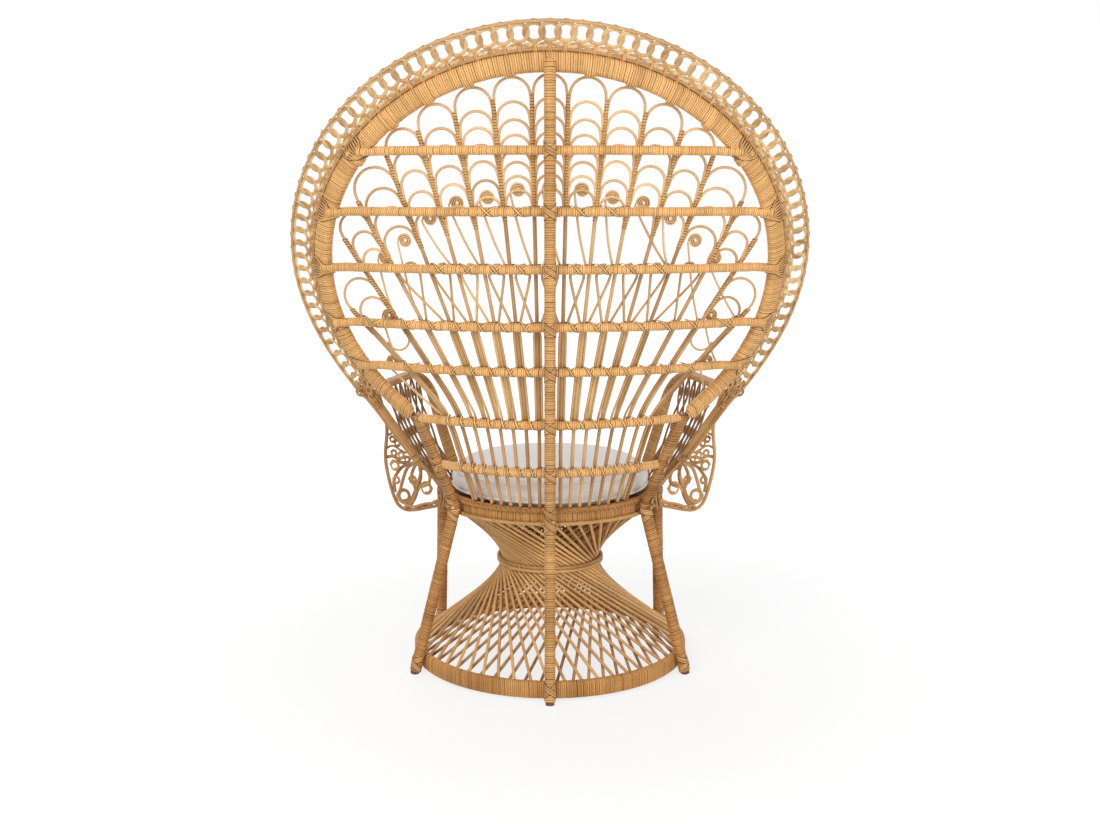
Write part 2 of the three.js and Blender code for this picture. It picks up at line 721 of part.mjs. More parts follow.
// Length along the border, measured where the rings have their middle
const borderSteps = 400;
const borderAngles = samples(borderSteps, (t) => (2 * t - 1) * borderEndAngle);
const borderLengths = [0];
for (let i = 1; i <= borderSteps; i += 1) {
  const before = onBorder(borderAngles[i - 1], ringMiddle, 0);
  const stride = onBorder(borderAngles[i], ringMiddle, 0).distanceTo(before);
  borderLengths.push(borderLengths[i - 1] + stride);
}
const borderLength = borderLengths[borderSteps];

function borderAngleAt(length) {
  const next = Math.min(Math.max(borderLengths.findIndex((l) => l >= length), 1), borderSteps);
  const t = (length - borderLengths[next - 1]) / (borderLengths[next] - borderLengths[next - 1]);
  return THREE.MathUtils.lerp(borderAngles[next - 1], borderAngles[next], t);
}

const ringCount = 2 * Math.round((borderLength - laceRingLength) / laceRingPitch / 2);
const ringSpacing = (borderLength - laceRingLength) / (ringCount - 1);

function laceRing(index, layer) {
  const along = laceRingLength / 2 + index * ringSpacing;
  const tube = laceRingCane / laceRingLength;
  const halfHeight = (ringHead - ringFoot) / 2 / (1 + tube);
  const ring = new THREE.TorusGeometry(1, tube, strandSides, ringFacets);
  const place = ring.attributes.position;
  for (let i = 0; i < place.count; i += 1) {
    const angle = borderAngleAt(along + place.getX(i) * (laceRingLength - laceRingCane) / 2);
    const across = ringMiddle + place.getY(i) * halfHeight;
    const out = place.getZ(i) * laceRingThickness / 2 / tube;
    const point = onBorder(angle, across, layer * laceLayerOut + out);
    place.setXYZ(i, point.x, point.y, point.z);
  }
  return solid(ring);
}

for (const [name, layer, first] of [['lace_rings_rear', 1, 0], ['lace_rings_front', -1, 1]]) {
  const rodOut = layer * (laceOuterDiameter + clearance) / 2;
  const bodies = [borderRod(laceOuterDiameter, strandSides, laceOuterAcross, rodOut)];
  for (let i = first; i < ringCount; i += 2) {
    bodies.push(laceRing(i, layer));
  }
  addPiece(name, join(bodies), rattanCane);
}

// Arm rail: from the rim's front forwards along the arm, over the front and down to the seat
function armCurve(side) {
  const seat = rimFrame(side * armRimAngle);
  const rear = seat.middle.addScaledVector(seat.rear, armRimLap - rimThickness / 2);
  const postRadius = seatTrimOuter * facetShare(armPostAngle) + clearance + armRailWidth / 2;
  const foot = around(postRadius, side * armPostAngle, seatTrimLower);
  const line = armLine.map(([reach, depth, height]) => new THREE.Vector3(side * reach, depth, height));
  const bend = line.at(-1).clone().lerp(foot, armPostBend);
  return new THREE.CatmullRomCurve3([rear, ...line, bend, foot]);
}

function armRail(side, extra) {
  const section = wrappedSection(armRailWidth + 2 * extra, armRailThickness + 2 * extra, edgeFacets);
  return sweep(section, armCurve(side).getPoints(armFacets), outwards);
}

// Stem: a row of canes side by side from the end of the border to the side of the seat
function rowSection(diameter, count, pitch) {
  const lobe = (i, angles) => angles.map((angle) => new THREE.Vector2(
    (i - (count - 1) / 2) * pitch + Math.cos(angle * degree) * diameter / 2,
    Math.sin(angle * degree) * diameter / 2,
  ));
  const order = Array.from({ length: count }, (_, i) => i);
  const below = order.flatMap((i) => lobe(i, [-120, -60]));
  const above = order.reverse().flatMap((i) => lobe(i, [60, 120]));
  const ends = [lobe(count - 1, [0]), lobe(0, [180])];
  return new THREE.Shape([...below, ...ends[0], ...above, ...ends[1]]);
}

function armStem(side) {
  const head = onBorder(side * armStemHeadAngle, armStemHeadReach, 0);
  const footRadius = seatTrimOuter * facetShare(armStemAngle) + clearance + armStemCane / 2;
  const shin = around(footRadius, side * armStemAngle, seatTrimUpper + armStemCane);
  const foot = around(footRadius, side * armStemAngle, seatTrimLower - armStemCane);
  const knee = head.clone().lerp(shin, armStemKnee);
  knee.add(outwards(knee).multiplyScalar(armStemCane));
  const curve = new THREE.CatmullRomCurve3([head, knee, shin]);
  const tangential = (point) => up.clone().cross(outwards(point));
  const section = rowSection(armStemCane, armStemCanes, armStemPitch);
  return sweep(section, [...curve.getPoints(stemFacets), foot], tangential);
}

// Skirt: a cane that hangs from the arm, swings out below the seat and comes back to it, with curls
function armSkirt(side) {
  const footRadius = seatTrimOuter * facetShare(armSkirtAngle) + clearance + armSkirtCane / 2;
  const foot = around(footRadius, side * armSkirtAngle, seatTrimLower);
  const head = armCurve(side).getPoint(armSkirtStart).addScaledVector(sideways, side * armRailWidth / 3);
  const line = armSkirtLine.map(([reach, depth, height]) => new THREE.Vector3(side * reach, depth, height));
  const curve = new THREE.CatmullRomCurve3([head, ...line, foot]);
  const bodies = [sweep(roundSection(armSkirtCane, caneSides), curve.getPoints(armFacets), outwards)];
  const heart = head.clone().lerp(foot, 0.5);
  for (const t of armCurlPlaces) {
    const rim = curve.getPoint(t);
    const along = curve.getTangent(t);
    const inward = heart.clone().sub(rim);
    inward.addScaledVector(along, -inward.dot(along)).normalize();
    const middle = rim.addScaledVector(inward, armCurlRadius + armSkirtCane / 3);
    const curl = new THREE.TorusGeometry(armCurlRadius, strandDiameter / 2, strandSides, ringFacets);
    const axes = new THREE.Matrix4().makeBasis(along, inward, along.clone().cross(inward));
    bodies.push(solid(curl.applyMatrix4(axes.setPosition(middle))));
  }
  return join(bodies);
}

// Lattice: canes that lean both ways between the seat and the underside of the arm
function armLattice(side) {
  const rail = armCurve(side);
  const low = (u) => {
    const angle = THREE.MathUtils.lerp(...armLatticeAngles, u);
    const footRadius = seatTrimOuter * facetShare(angle) + clearance + armLatticeCane / 2;
    return around(footRadius, side * angle, seatTrimUpper);
  };
  const high = (u) => {
    const point = rail.getPoint(THREE.MathUtils.lerp(...armLatticePlaces, u));
    return point.addScaledVector(outwards(point), -armRailWidth / 4);
  };
  const lean = armLatticeLean / armLatticeCount;
  const bodies = [];
  for (const way of [1, -1]) {
    for (let i = 0; i < armLatticeCount; i += 1) {
      const first = way < 0 ? armLatticeLean : 0;
      const start = (i + first) / (armLatticeCount + armLatticeLean - 1);
      const at = (v) => low(start + way * lean * v).lerp(high(start + way * lean * v), v);
      const inwards = (point) => outwards(point).negate();
      bodies.push(sweep(roundSection(armLatticeCane, strandSides), samples(2, at), inwards));
    }
  }
  return join(bodies);
}

for (const [word, side] of [['left', 1], ['right', -1]]) {
  const railCutter = armRail(side, clearance);
  addPiece(`arm_rail_${word}`, cut(armRail(side, 0), [rimCutter]), rattanPeel);
  addPiece(`arm_stem_${word}`, armStem(side), rattanCane);
  addPiece(`arm_skirt_${word}`, cut(armSkirt(side), [railCutter]), rattanCane);
  addPiece(`arm_lattice_${word}`, cut(armLattice(side), [railCutter]), rattanCane);
}

// The origin lies on the floor below the middle of the whole chair
const extent = new THREE.Box3().setFromObject(chair);
chair.position.y = -(extent.min.y + extent.max.y) / 2;

export default chair;
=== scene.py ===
import math

import bmesh
import bpy
import numpy as np
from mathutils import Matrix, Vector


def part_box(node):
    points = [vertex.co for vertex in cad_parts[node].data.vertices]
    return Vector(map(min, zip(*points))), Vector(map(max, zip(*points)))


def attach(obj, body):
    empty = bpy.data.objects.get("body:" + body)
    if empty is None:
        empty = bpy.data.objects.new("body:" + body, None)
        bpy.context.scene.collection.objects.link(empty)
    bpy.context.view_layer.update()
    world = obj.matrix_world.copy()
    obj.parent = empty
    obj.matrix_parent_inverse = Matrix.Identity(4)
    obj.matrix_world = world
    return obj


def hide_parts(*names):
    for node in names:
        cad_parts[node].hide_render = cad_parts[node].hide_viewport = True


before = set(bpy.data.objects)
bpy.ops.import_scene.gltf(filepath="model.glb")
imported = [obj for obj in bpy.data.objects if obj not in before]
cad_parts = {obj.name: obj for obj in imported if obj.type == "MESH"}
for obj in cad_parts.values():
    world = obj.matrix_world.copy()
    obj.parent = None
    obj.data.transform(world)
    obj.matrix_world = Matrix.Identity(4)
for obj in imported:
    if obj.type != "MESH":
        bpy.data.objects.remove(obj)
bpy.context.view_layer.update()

scene = bpy.context.scene
chance = np.random.default_rng(11)
baseLow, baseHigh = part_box("base_hoop")
axisY = (baseLow.y + baseHigh.y) / 2  # the upright axis of the base, waist and seat
axisPoint = np.array([0, axisY, 0])
up = np.array([0, 0, 1.])


def addObject(name, data):
    thing = bpy.data.objects.new(name, data)
    scene.collection.objects.link(thing)
    return thing


# The camera stands behind the chair, as high as the upper back.
camera = {"distance": 3.193, "height": 1.158, "tilt": 80.35, "lens": 42.93}
lens = bpy.data.cameras.new("camera")
lens.sensor_width = 36
lens.lens = camera["lens"]
eye = addObject("camera", lens)
eye.location = (0, axisY + camera["distance"], camera["height"])
eye.rotation_euler = (math.radians(camera["tilt"]), 0, math.pi)
scene.camera = eye
scene.view_settings.view_transform = "Standard"


# Colours and materials

def linearColour(text):
    parts = [int(text[i:i + 2], 16) / 255 for i in (1, 3, 5)]
    return [p / 12.92 if p < .04045 else ((p + .055) / 1.055) ** 2.4 for p in parts] + [1]


def addNode(tree, kind, inputs=None, **settings):
    node = tree.nodes.new("ShaderNode" + kind)
    for key, value in settings.items():
        setattr(node, key, value)
    for key, value in (inputs or {}).items():
        if isinstance(value, bpy.types.NodeSocket):
            tree.links.new(value, node.inputs[key])
        else:
            node.inputs[key].default_value = value
    return node


def newMaterial(name):
    material = bpy.data.materials.new(name)
    material.use_nodes = True
    material.node_tree.nodes.clear()
    return material, material.node_tree


# Rattan, split peel or round cane: a hard waxy skin, streaked along the fibre, each strand its own shade.
# The dark line beside a strip is dust and painted shade that a winding's groove holds.
def makeRattan(name, look):
    material, tree = newMaterial(name)
    place = addNode(tree, "TexCoord").outputs["Object"]
    tone = addNode(tree, "Attribute", attribute_name="tone").outputs["Fac"]
    edge = addNode(tree, "Attribute", attribute_name="edge").outputs["Fac"]
    patch = addNode(tree, "TexNoise", {"Vector": place, "Scale": 1 / look["patchSize"], "Detail": 3})
    fibre = addNode(tree, "TexNoise", {"Vector": place, "Scale": 1 / look["fibreSize"], "Detail": 2})
    share = look["patchShare"]
    sway = addNode(tree, "Math", {0: patch.outputs["Fac"], 1: share, 2: tone}, operation="MULTIPLY_ADD")
    shade = addNode(tree, "Math", {0: sway.outputs[0], 1: share / 2}, operation="SUBTRACT", use_clamp=True)
    dark, light, fleck, dustAndShade = [linearColour(look[key]) for key in ("dark", "light", "fleck", "dustAndShade")]
    skin = addNode(tree, "Mix", {0: shade.outputs[0], 6: dark, 7: light}, data_type="RGBA")
    speck = addNode(tree, "MapRange", {"Value": fibre.outputs["Fac"], 1: .55, 2: .75, 3: 0, 4: look["speck"]})
    flecked = addNode(tree, "Mix", {0: speck.outputs[0], 6: skin.outputs[2], 7: fleck}, data_type="RGBA")
    # the groove mix paints shade, with some dust, into the colour between the turns
    groove = addNode(tree, "MapRange", {"Value": edge, 1: .35, 2: 1, 3: 0, 4: look["groove"]})
    grooveDustAndShade = addNode(tree, "Mix", {0: groove.outputs[0], 6: flecked.outputs[2], 7: dustAndShade}, data_type="RGBA")
    least, most = look["rough"] - .08, look["rough"] + .12
    rough = addNode(tree, "MapRange", {"Value": fibre.outputs["Fac"], 3: least, 4: most})
    bump = addNode(tree, "Bump", {"Height": fibre.outputs["Fac"], "Strength": .35, "Distance": look["bump"]})
    skinShader = addNode(tree, "BsdfPrincipled", {
        "Base Color": grooveDustAndShade.outputs[2], "Roughness": rough.outputs[0], "Normal": bump.outputs["Normal"],
        "IOR": 1.5, "Specular IOR Level": .3, "Coat Weight": look["wax"], "Coat Roughness": .35})
    addNode(tree, "OutputMaterial", {"Surface": skinShader.outputs[0]})
    return material


peelLook = {
    "dark": "#8f5a24", "light": "#fac47e", "fleck": "#7d4c22", "dustAndShade": "#3c1e08", "speck": .3, "groove": .95,
    "patchSize": .05, "patchShare": .5, "fibreSize": .0035, "rough": .5, "bump": .0004, "wax": .05}
caneLook = {
    "dark": "#996936", "light": "#fbd69c", "fleck": "#8c5a2c", "dustAndShade": "#54300f", "speck": .35, "groove": .5,
    "patchSize": .07, "patchShare": .5, "fibreSize": .004, "rough": .46, "bump": .0003, "wax": .07}
agedLook = {
    "dark": "#7d4a1f", "light": "#f2b469", "fleck": "#633a17", "dustAndShade": "#331a07", "speck": .35, "groove": .95,
    "patchSize": .06, "patchShare": .55, "fibreSize": .0035, "rough": .5, "bump": .0004, "wax": .05}
# A darker copy of the cane for the arm lattice: painted shade, as the lattice lies in the arm's shadow.
shadedCaneLook = {
    "dark": "#5a3516", "light": "#d8a468", "fleck": "#3d220d", "dustAndShade": "#2a1506", "speck": .35, "groove": .6,
    "patchSize": .05, "patchShare": .5, "fibreSize": .004, "rough": .48, "bump": .0003, "wax": .07}
rattanPeel = makeRattan("rattanPeel", peelLook)
rattanCane = makeRattan("rattanCane", caneLook)
agedPeel = makeRattan("agedRattanPeel", agedLook)
agedCane = makeRattan("agedRattanCane", {**agedLook, "dark": "#7f4f24", "light": "#f6c481", "wax": .07})
shadedCane = makeRattan("shadedRattanCane", shadedCaneLook)
print("materials for rattan made")


# Paths, strands and windings: a path holds its points, the run to each and the two directions across it

def unit(v):
    return v / np.maximum(np.linalg.norm(v, axis=-1, keepdims=True), 1e-9)


def makePath(points, side):
    points = np.asarray(points, float)
    run = np.concatenate([[0], np.cumsum(np.linalg.norm(np.diff(points, axis=0), axis=1))])
    along = unit(np.gradient(points, run, axis=0))
    side = np.broadcast_to(np.asarray(side, float), points.shape)
    across = unit(side - along * np.sum(side * along, -1, keepdims=True))
    return {"points": points, "run": run, "across": across, "lift": np.cross(along, across), "length": run[-1]}


def alongPath(path, run):
    keys = ("points", "across", "lift")
    return [np.stack([np.interp(run, path["run"], path[key][:, i]) for i in range(3)], -1) for key in keys]


def smoothLine(keys, count):
    keys = np.asarray(keys, float)
    keys = np.concatenate([[2 * keys[0] - keys[1]], keys, [2 * keys[-1] - keys[-2]]])
    place = np.linspace(0, len(keys) - 3 - 1e-9, count)
    i = place.astype(int)
    u = (place - i)[:, None]
    a, b, c, d = keys[i], keys[i + 1], keys[i + 2], keys[i + 3]
    return .5 * (2 * b + (c - a) * u + (2 * a - 5 * b + 4 * c - d) * u ** 2 + (3 * b - a - 3 * c + d) * u ** 3)


def readPlaces(mesh):
    places = np.empty(len(mesh.vertices) * 3, np.float32)
    mesh.vertices.foreach_get("co", places)
    return places.reshape(-1, 3).astype(float)


def setPlaces(mesh, places):
    mesh.vertices.foreach_set("co", np.ascontiguousarray(places, np.float32).ravel())


def writePlaces(mesh, places, tone, edge):
    setPlaces(mesh, places)
    for name, value in (("tone", tone), ("edge", edge)):
        layer = mesh.attributes.new(name, "FLOAT", "POINT")
        layer.data.foreach_set("value", np.broadcast_to(np.float32(value), len(mesh.vertices)).copy())


def meshFrom(bm, name):
    mesh = bpy.data.meshes.new(name)
    bm.to_mesh(mesh)
    bm.free()
    return mesh


def evaluatedMesh(thing):
    return bpy.data.meshes.new_from_object(thing.evaluated_get(bpy.context.evaluated_depsgraph_get()))


def spinProfile(points, steps, middle=(0, 0, 0), closed=False):
    bm = bmesh.new()
    corners = [bm.verts.new(point) for point in points]
    for i, corner in enumerate(corners):
        if i or closed:
            bm.edges.new((corners[i - 1], corner))
    bmesh.ops.spin(bm, geom=bm.verts[:] + bm.edges[:], cent=middle, axis=(0, 0, 1), angle=math.tau, steps=steps,
                   use_merge=True)
    return bm


store = {}  # patterns that are copied and bent, removed at the end


def keepMesh(key, bm):
    store[key] = meshFrom(bm, "pattern")
    return store[key]


def straightRod(sides, rings):
    key = ("rod", sides, rings)
    if key in store:
        return store[key]
    bm = bmesh.new()
    bmesh.ops.create_cone(bm, cap_ends=True, segments=sides, radius1=1, radius2=1, depth=1)
    long = [edge for edge in bm.edges if abs(edge.verts[0].co.z - edge.verts[1].co.z) > .5]
    bmesh.ops.subdivide_edges(bm, edges=long, cuts=rings - 2)
    bmesh.ops.translate(bm, verts=bm.verts, vec=(0, 0, .5))
    return keepMesh(key, bm)


def peelTurn(sides, cover):
    key = ("turn", sides, cover)
    if key in store:
        return store[key]
    half, sunk = cover / 2, .9
    bm = spinProfile([(sunk, 0, -half), (1, 0, -half * .6), (1, 0, half * .6), (sunk, 0, half)], sides)
    bm.normal_update()
    inward = [f for f in bm.faces if f.normal.xy.dot(f.calc_center_median().xy) < 0]
    bmesh.ops.reverse_faces(bm, faces=inward)
    return keepMesh(key, bm)


def repeatMesh(mesh, count):
    holder = addObject("holder", mesh)
    row = holder.modifiers.new("row", "ARRAY")
    row.count = count
    row.use_relative_offset = False
    made = evaluatedMesh(holder)
    bpy.data.objects.remove(holder)
    return made


# A strand follows a path. A wide one is flat, with rounded edges.
def addCane(bundle, path, width, thickness=None, sides=8, step=.012, span=None, tone=.5, edge=0, taper=None):
    start, end = span or (0, path["length"])
    thickness = thickness or width
    mesh = straightRod(sides, max(3, int((end - start) / step) + 2)).copy()
    place = readPlaces(mesh)
    middle, across, lift = alongPath(path, start + (end - start) * place[:, 2])
    size = np.ones(len(place)) if taper is None else np.interp(place[:, 2], *taper)
    flat = np.where(np.abs(place[:, 0]) > .01, np.sign(place[:, 0]), 0) * (width - thickness) / 2
    wide = (place[:, 0] * thickness / 2 + flat) * size
    thick = place[:, 1] * thickness / 2 * size
    writePlaces(mesh, middle + across * wide[:, None] + lift * thick[:, None], tone, edge)
    bundle.append(mesh)


# A winding is one turn of peel after another along a pole, each with its own shade and a slight tilt.
def addWinding(bundle, path, width, thickness, pitch, span=None, cover=1.0, sides=14, tilt=.3, swell=None, shade=.5,
               spread=.07, core=True):
    start, end = span or (0, path["length"])
    count = max(1, round((end - start) / pitch))
    pitch = (end - start) / count
    mesh = repeatMesh(peelTurn(sides, cover), count)
    place = readPlaces(mesh).reshape(count, -1, 3)
    turn = np.arange(count)[:, None]
    run = start + (turn + .5 + place[..., 2] + tilt * place[..., 0] + chance.normal(0, .05, (count, 1))) * pitch
    run = np.clip(run, start, end)
    middle, across, lift = alongPath(path, run)
    size = 1 + chance.normal(0, .012, (count, 1))
    wide = place[..., 0] * thickness / 2 * size + np.sign(place[..., 0]) * (width - thickness) / 2
    thick = place[..., 1] * thickness / 2 * size
    if swell:
        wide, thick = swell(run, wide, thick)
    knots = chance.normal(0, spread * .8, count // 9 + 3)
    slow = np.interp(np.arange(count), np.arange(len(knots)) * 9, knots)[:, None]
    tone = np.clip(shade + slow + chance.normal(0, spread, (count, 1)), 0, 1)
    tone = np.broadcast_to(tone, place.shape[:2])
    edge = (np.hypot(place[..., 0], place[..., 1]) < .97).astype(float)
    places = middle + across * wide[..., None] + lift * thick[..., None]
    writePlaces(mesh, places.reshape(-1, 3), tone.ravel(), edge.ravel())
    bundle.append(mesh)
    if core:
        # the pole under the peel is drawn near black in the groove's colour: painted shade, with some dust, where it
        # shows between the turns
        addCane(bundle, path, width * .9, thickness * .88, sides=10, step=.03, span=(start, end), tone=.1, edge=.8)


# A lashing strip lies on a slightly wider dark one: painted shade, with the groove's dust, that outlines the strip
# where it is pulled in.
def addStrip(bundle, path, thickness, width, tone):
    addCane(bundle, path, thickness, width, sides=6, step=.006, tone=tone)
    addCane(bundle, path, thickness * .45, width + .0022, sides=6, step=.006, tone=.05, edge=1)


# A lashing crosses over a pole and what is bound to it, in strips that lean both ways.
def addCross(bundle, path, run, radius, rise, strips=3, stripWidth=.0038, sweep=105, shade=.62):
    middle, across, lift = [v[0] for v in alongPath(path, np.array([run]))]
    along = np.cross(across, lift)
    turn = np.radians(np.linspace(-sweep, sweep, 13))
    radial = np.cos(turn)[:, None] * across + np.sin(turn)[:, None] * lift
    for way in (1, -1):
        for i in range(strips):
            shift = (i - (strips - 1) / 2) * stripWidth * 1.15
            climb = way * rise / 2 * turn / turn[-1] + shift
            reach = radius + (.0004 if way > 0 else .0012)
            strip = makePath(middle + radial * reach + along * climb[:, None], radial)
            addStrip(bundle, strip, .0012, stripWidth, chance.normal(shade, .1))


def makePiece(name, bundle, material, nodes, body="frame"):
    bm = bmesh.new()
    for mesh in bundle:
        bm.from_mesh(mesh)
        bpy.data.meshes.remove(mesh)
    mesh = meshFrom(bm, name)
    places = readPlaces(mesh)
    places[:, 2] = np.maximum(places[:, 2], 0)  # what stands on the floor is cut flat there
    setPlaces(mesh, places)
    mesh.polygons.foreach_set("use_smooth", np.ones(len(mesh.polygons), bool))
    mesh.set_sharp_from_angle(angle=math.radians(55))
    mesh.materials.append(material)
    piece = addObject(name, mesh)
    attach(piece, body)
    if nodes:
        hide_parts(*nodes)
    print(name, sum(len(p.vertices) - 2 for p in mesh.polygons), "triangles")


# The surfaces that the strands lie on

def around(radius, angle, height):
    turn = np.radians(angle)
    return np.stack(np.broadcast_arrays(radius * np.sin(turn), axisY + radius * np.cos(turn), height), -1)


def hoopPath(radius, angle, height):
    return makePath(around(radius, angle, height), up)


backShape = {"radius": .268, "level": .42, "lean": math.tan(math.radians(9.5)), "topBend": .7, "fade": .28}


def backDepth(x, z):
    fade = np.exp(-np.maximum(z - backShape["level"], 0) / backShape["fade"])
    bend = backShape["topBend"] + (1 / backShape["radius"] - backShape["topBend"]) * fade
    flank = np.sqrt(np.maximum(1 - (bend * x) ** 2, .02))
    return axisY + backShape["radius"] + (z - backShape["level"]) * backShape["lean"] - bend * x * x / (1 + flank)


def backNormal(x, z):
    h = .0005
    slopeX = (backDepth(x + h, z) - backDepth(x - h, z)) / (2 * h)
    slopeZ = (backDepth(x, z + h) - backDepth(x, z - h)) / (2 * h)
    return unit(np.stack([-slopeX, np.ones_like(slopeX), -slopeZ], -1))


def onBack(x, z, out=0.):
    x, z, out = np.broadcast_arrays(np.asarray(x, float), np.asarray(z, float), np.asarray(out, float))
    return np.stack([x, backDepth(x, z), z], -1) + backNormal(x, z) * out[..., None]


def backPath(line, out=0.):
    line = np.asarray(line, float)
    return makePath(onBack(line[:, 0], line[:, 1], out), backNormal(line[:, 0], line[:, 1]))


rim = {"halfWidth": .512, "halfHeight": .434, "centre": .98, "width": .0425, "thickness": .026, "end": 141.5,
       "pitch": .0049, "rounding": .02, "shade": .76}


def rimPlane(angle, out=0.):
    turn = np.radians(angle)
    normal = unit(np.stack([np.sin(turn) / rim["halfWidth"], np.cos(turn) / rim["halfHeight"]], -1))
    middle = np.stack([rim["halfWidth"] * np.sin(turn), rim["centre"] + rim["halfHeight"] * np.cos(turn)], -1)
    return middle + normal * np.asarray(out)[..., None]


def rimFrame(angle):
    angle = np.asarray(angle, float)
    flat, before, after = rimPlane(angle), rimPlane(angle - .05), rimPlane(angle + .05)
    along = unit(onBack(after[..., 0], after[..., 1]) - onBack(before[..., 0], before[..., 1]))
    rear = backNormal(flat[..., 0], flat[..., 1])
    return onBack(flat[..., 0], flat[..., 1]), rear, along, unit(np.cross(along, rear))


def pick(shade):
    return chance.normal(shade, .12)


# Base: a wrapped ring, two layers of 52 canes that lean opposite ways and a waist of two canes
base = {"ringRadius": .332, "ringMiddle": .0255, "ringHeight": .042, "ringThickness": .02, "pitch": .0047,
        "shade": .56, "canes": 52, "cane": .0074}
outerLayer = {"way": 1, "shift": 0, "pinch": .1198, "foot": (.332, .038), "head": (.2495, .3975), "shade": .7}
# The inner layer's lower shade is painted shade behind the outer canes.
innerLayer = {"way": -1, "shift": .5, "pinch": .1075, "foot": (.3222, .026), "head": (.2403, .405), "shade": .38}
fullTurn = np.linspace(0, 360, 241)
bundle = []
addWinding(bundle, hoopPath(base["ringRadius"], fullTurn, base["ringMiddle"]), base["ringHeight"],
           base["ringThickness"], base["pitch"], shade=base["shade"])
makePiece("baseRing", bundle, agedPeel, ["base_hoop"])

bundle = []
for layer in (outerLayer, innerLayer):
    leads = [math.degrees(math.acos(layer["pinch"] / layer[end][0])) for end in ("foot", "head")]
    for i in range(base["canes"]):
        middleAngle = (i + layer["shift"]) * 360 / base["canes"]
        foot = around(layer["foot"][0], middleAngle - layer["way"] * leads[0], layer["foot"][1])
        head = around(layer["head"][0], middleAngle + layer["way"] * leads[1], layer["head"][1])
        canePath = makePath(foot + (head - foot) * np.linspace(0, 1, 9)[:, None], up)
        addCane(bundle, canePath, base["cane"], step=.045, tone=pick(layer["shade"]))
caneNodes = ["base_canes_%s%d" % (layer, i) for layer in ("", "inner_") for i in range(1, 5)]
makePiece("baseCanes", bundle, agedCane, caneNodes)

waist = {"radius": .1288, "middle": .249, "cane": .0085, "overlap": 12, "ends": (35, 215), "endOut": .006,
         "bound": (28, 34, 40, 205, 211), "loopDeep": .0056, "loopTall": .0096, "loopWidth": .0045}
bundle = []
for level, begin in zip((-.5, .5), waist["ends"]):
    past = np.linspace(0, 360 + waist["overlap"], 97)
    outer = waist["radius"] + np.interp(past, (0, 350, past[-1]), (0, .0005, waist["endOut"]))
    addCane(bundle, hoopPath(outer, begin + past, waist["middle"] + level * waist["cane"]), waist["cane"], step=.014,
            tone=pick(.6))
loop = np.radians(np.linspace(0, 360, 17))[:, None]
for angle in waist["bound"]:
    middle = around(waist["radius"], angle, waist["middle"])
    outward = unit(middle - axisPoint - up * waist["middle"])
    points = middle + outward * np.cos(loop) * waist["loopDeep"] + up * np.sin(loop) * waist["loopTall"]
    addCane(bundle, makePath(points, points - middle), .001, waist["loopWidth"], sides=6, step=.005, tone=pick(.62))
makePiece("waistRing", bundle, agedCane, ["waist_hoop"])

# Legs: wrapped poles outside the ring; bare ends stand on the floor
legs = {"diameter": .028, "pitch": .0053, "footRadius": .3563, "seatRadius": .2826, "footLevel": .042,
        "seatLevel": .398, "top": .4135, "bare": .007, "shade": .5, "footTie": .03, "topTie": .014}
legAngles = {"rear": (63, 54), "front": (125, 105)}


def onLeg(side, angles, height):
    low = around(legs["footRadius"], side * angles[0], legs["footLevel"])
    high = around(legs["seatRadius"], side * angles[1], legs["seatLevel"])
    share = (np.asarray(height, float) - legs["footLevel"]) / (legs["seatLevel"] - legs["footLevel"])
    return low + (high - low) * share[..., None]


bundle, footEnds, crosses = [], [], []
for angles in legAngles.values():
    for side in (1, -1):
        points = onLeg(side, angles, np.linspace(0, legs["top"], 12))
        legPath = makePath(points, unit((points - axisPoint) * (1, 1, 0)))
        addWinding(bundle, legPath, legs["diameter"], legs["diameter"], legs["pitch"], shade=legs["shade"],
                   span=(legs["bare"], legPath["length"]))
        addCane(footEnds, legPath, legs["diameter"] * .8, span=(0, legs["bare"] * 2), sides=16, step=.01, tone=.3)
        addCross(crosses, legPath, legs["footTie"], legs["diameter"] / 2, .03)
        addCross(crosses, legPath, legPath["length"] - legs["topTie"], legs["diameter"] / 2, .024)
legNodes = ["leg_rear_left", "leg_rear_right", "leg_front_left", "leg_front_right"]
makePiece("legs", bundle, agedPeel, legNodes)

# Stained hardwood: a close brown grain on the cut pole ends
stain, tree = newMaterial("stainedPoleWood")
stainLook = {"dark": "#4a220e", "light": "#8d4a24", "grain": .004, "rough": .45}
place = addNode(tree, "TexCoord").outputs["Object"]
grain = addNode(tree, "TexNoise", {"Vector": place, "Scale": 1 / stainLook["grain"], "Detail": 4})
dark, light = linearColour(stainLook["dark"]), linearColour(stainLook["light"])
wood = addNode(tree, "Mix", {0: grain.outputs["Fac"], 6: dark, 7: light}, data_type="RGBA")
woodBump = addNode(tree, "Bump", {"Height": grain.outputs["Fac"], "Strength": .3, "Distance": .0004})
woodShader = addNode(tree, "BsdfPrincipled", {"Base Color": wood.outputs[2], "Roughness": stainLook["rough"],
                                              "Normal": woodBump.outputs["Normal"]})
addNode(tree, "OutputMaterial", {"Surface": woodShader.outputs[0]})
makePiece("footEnds", footEnds, stain, [])

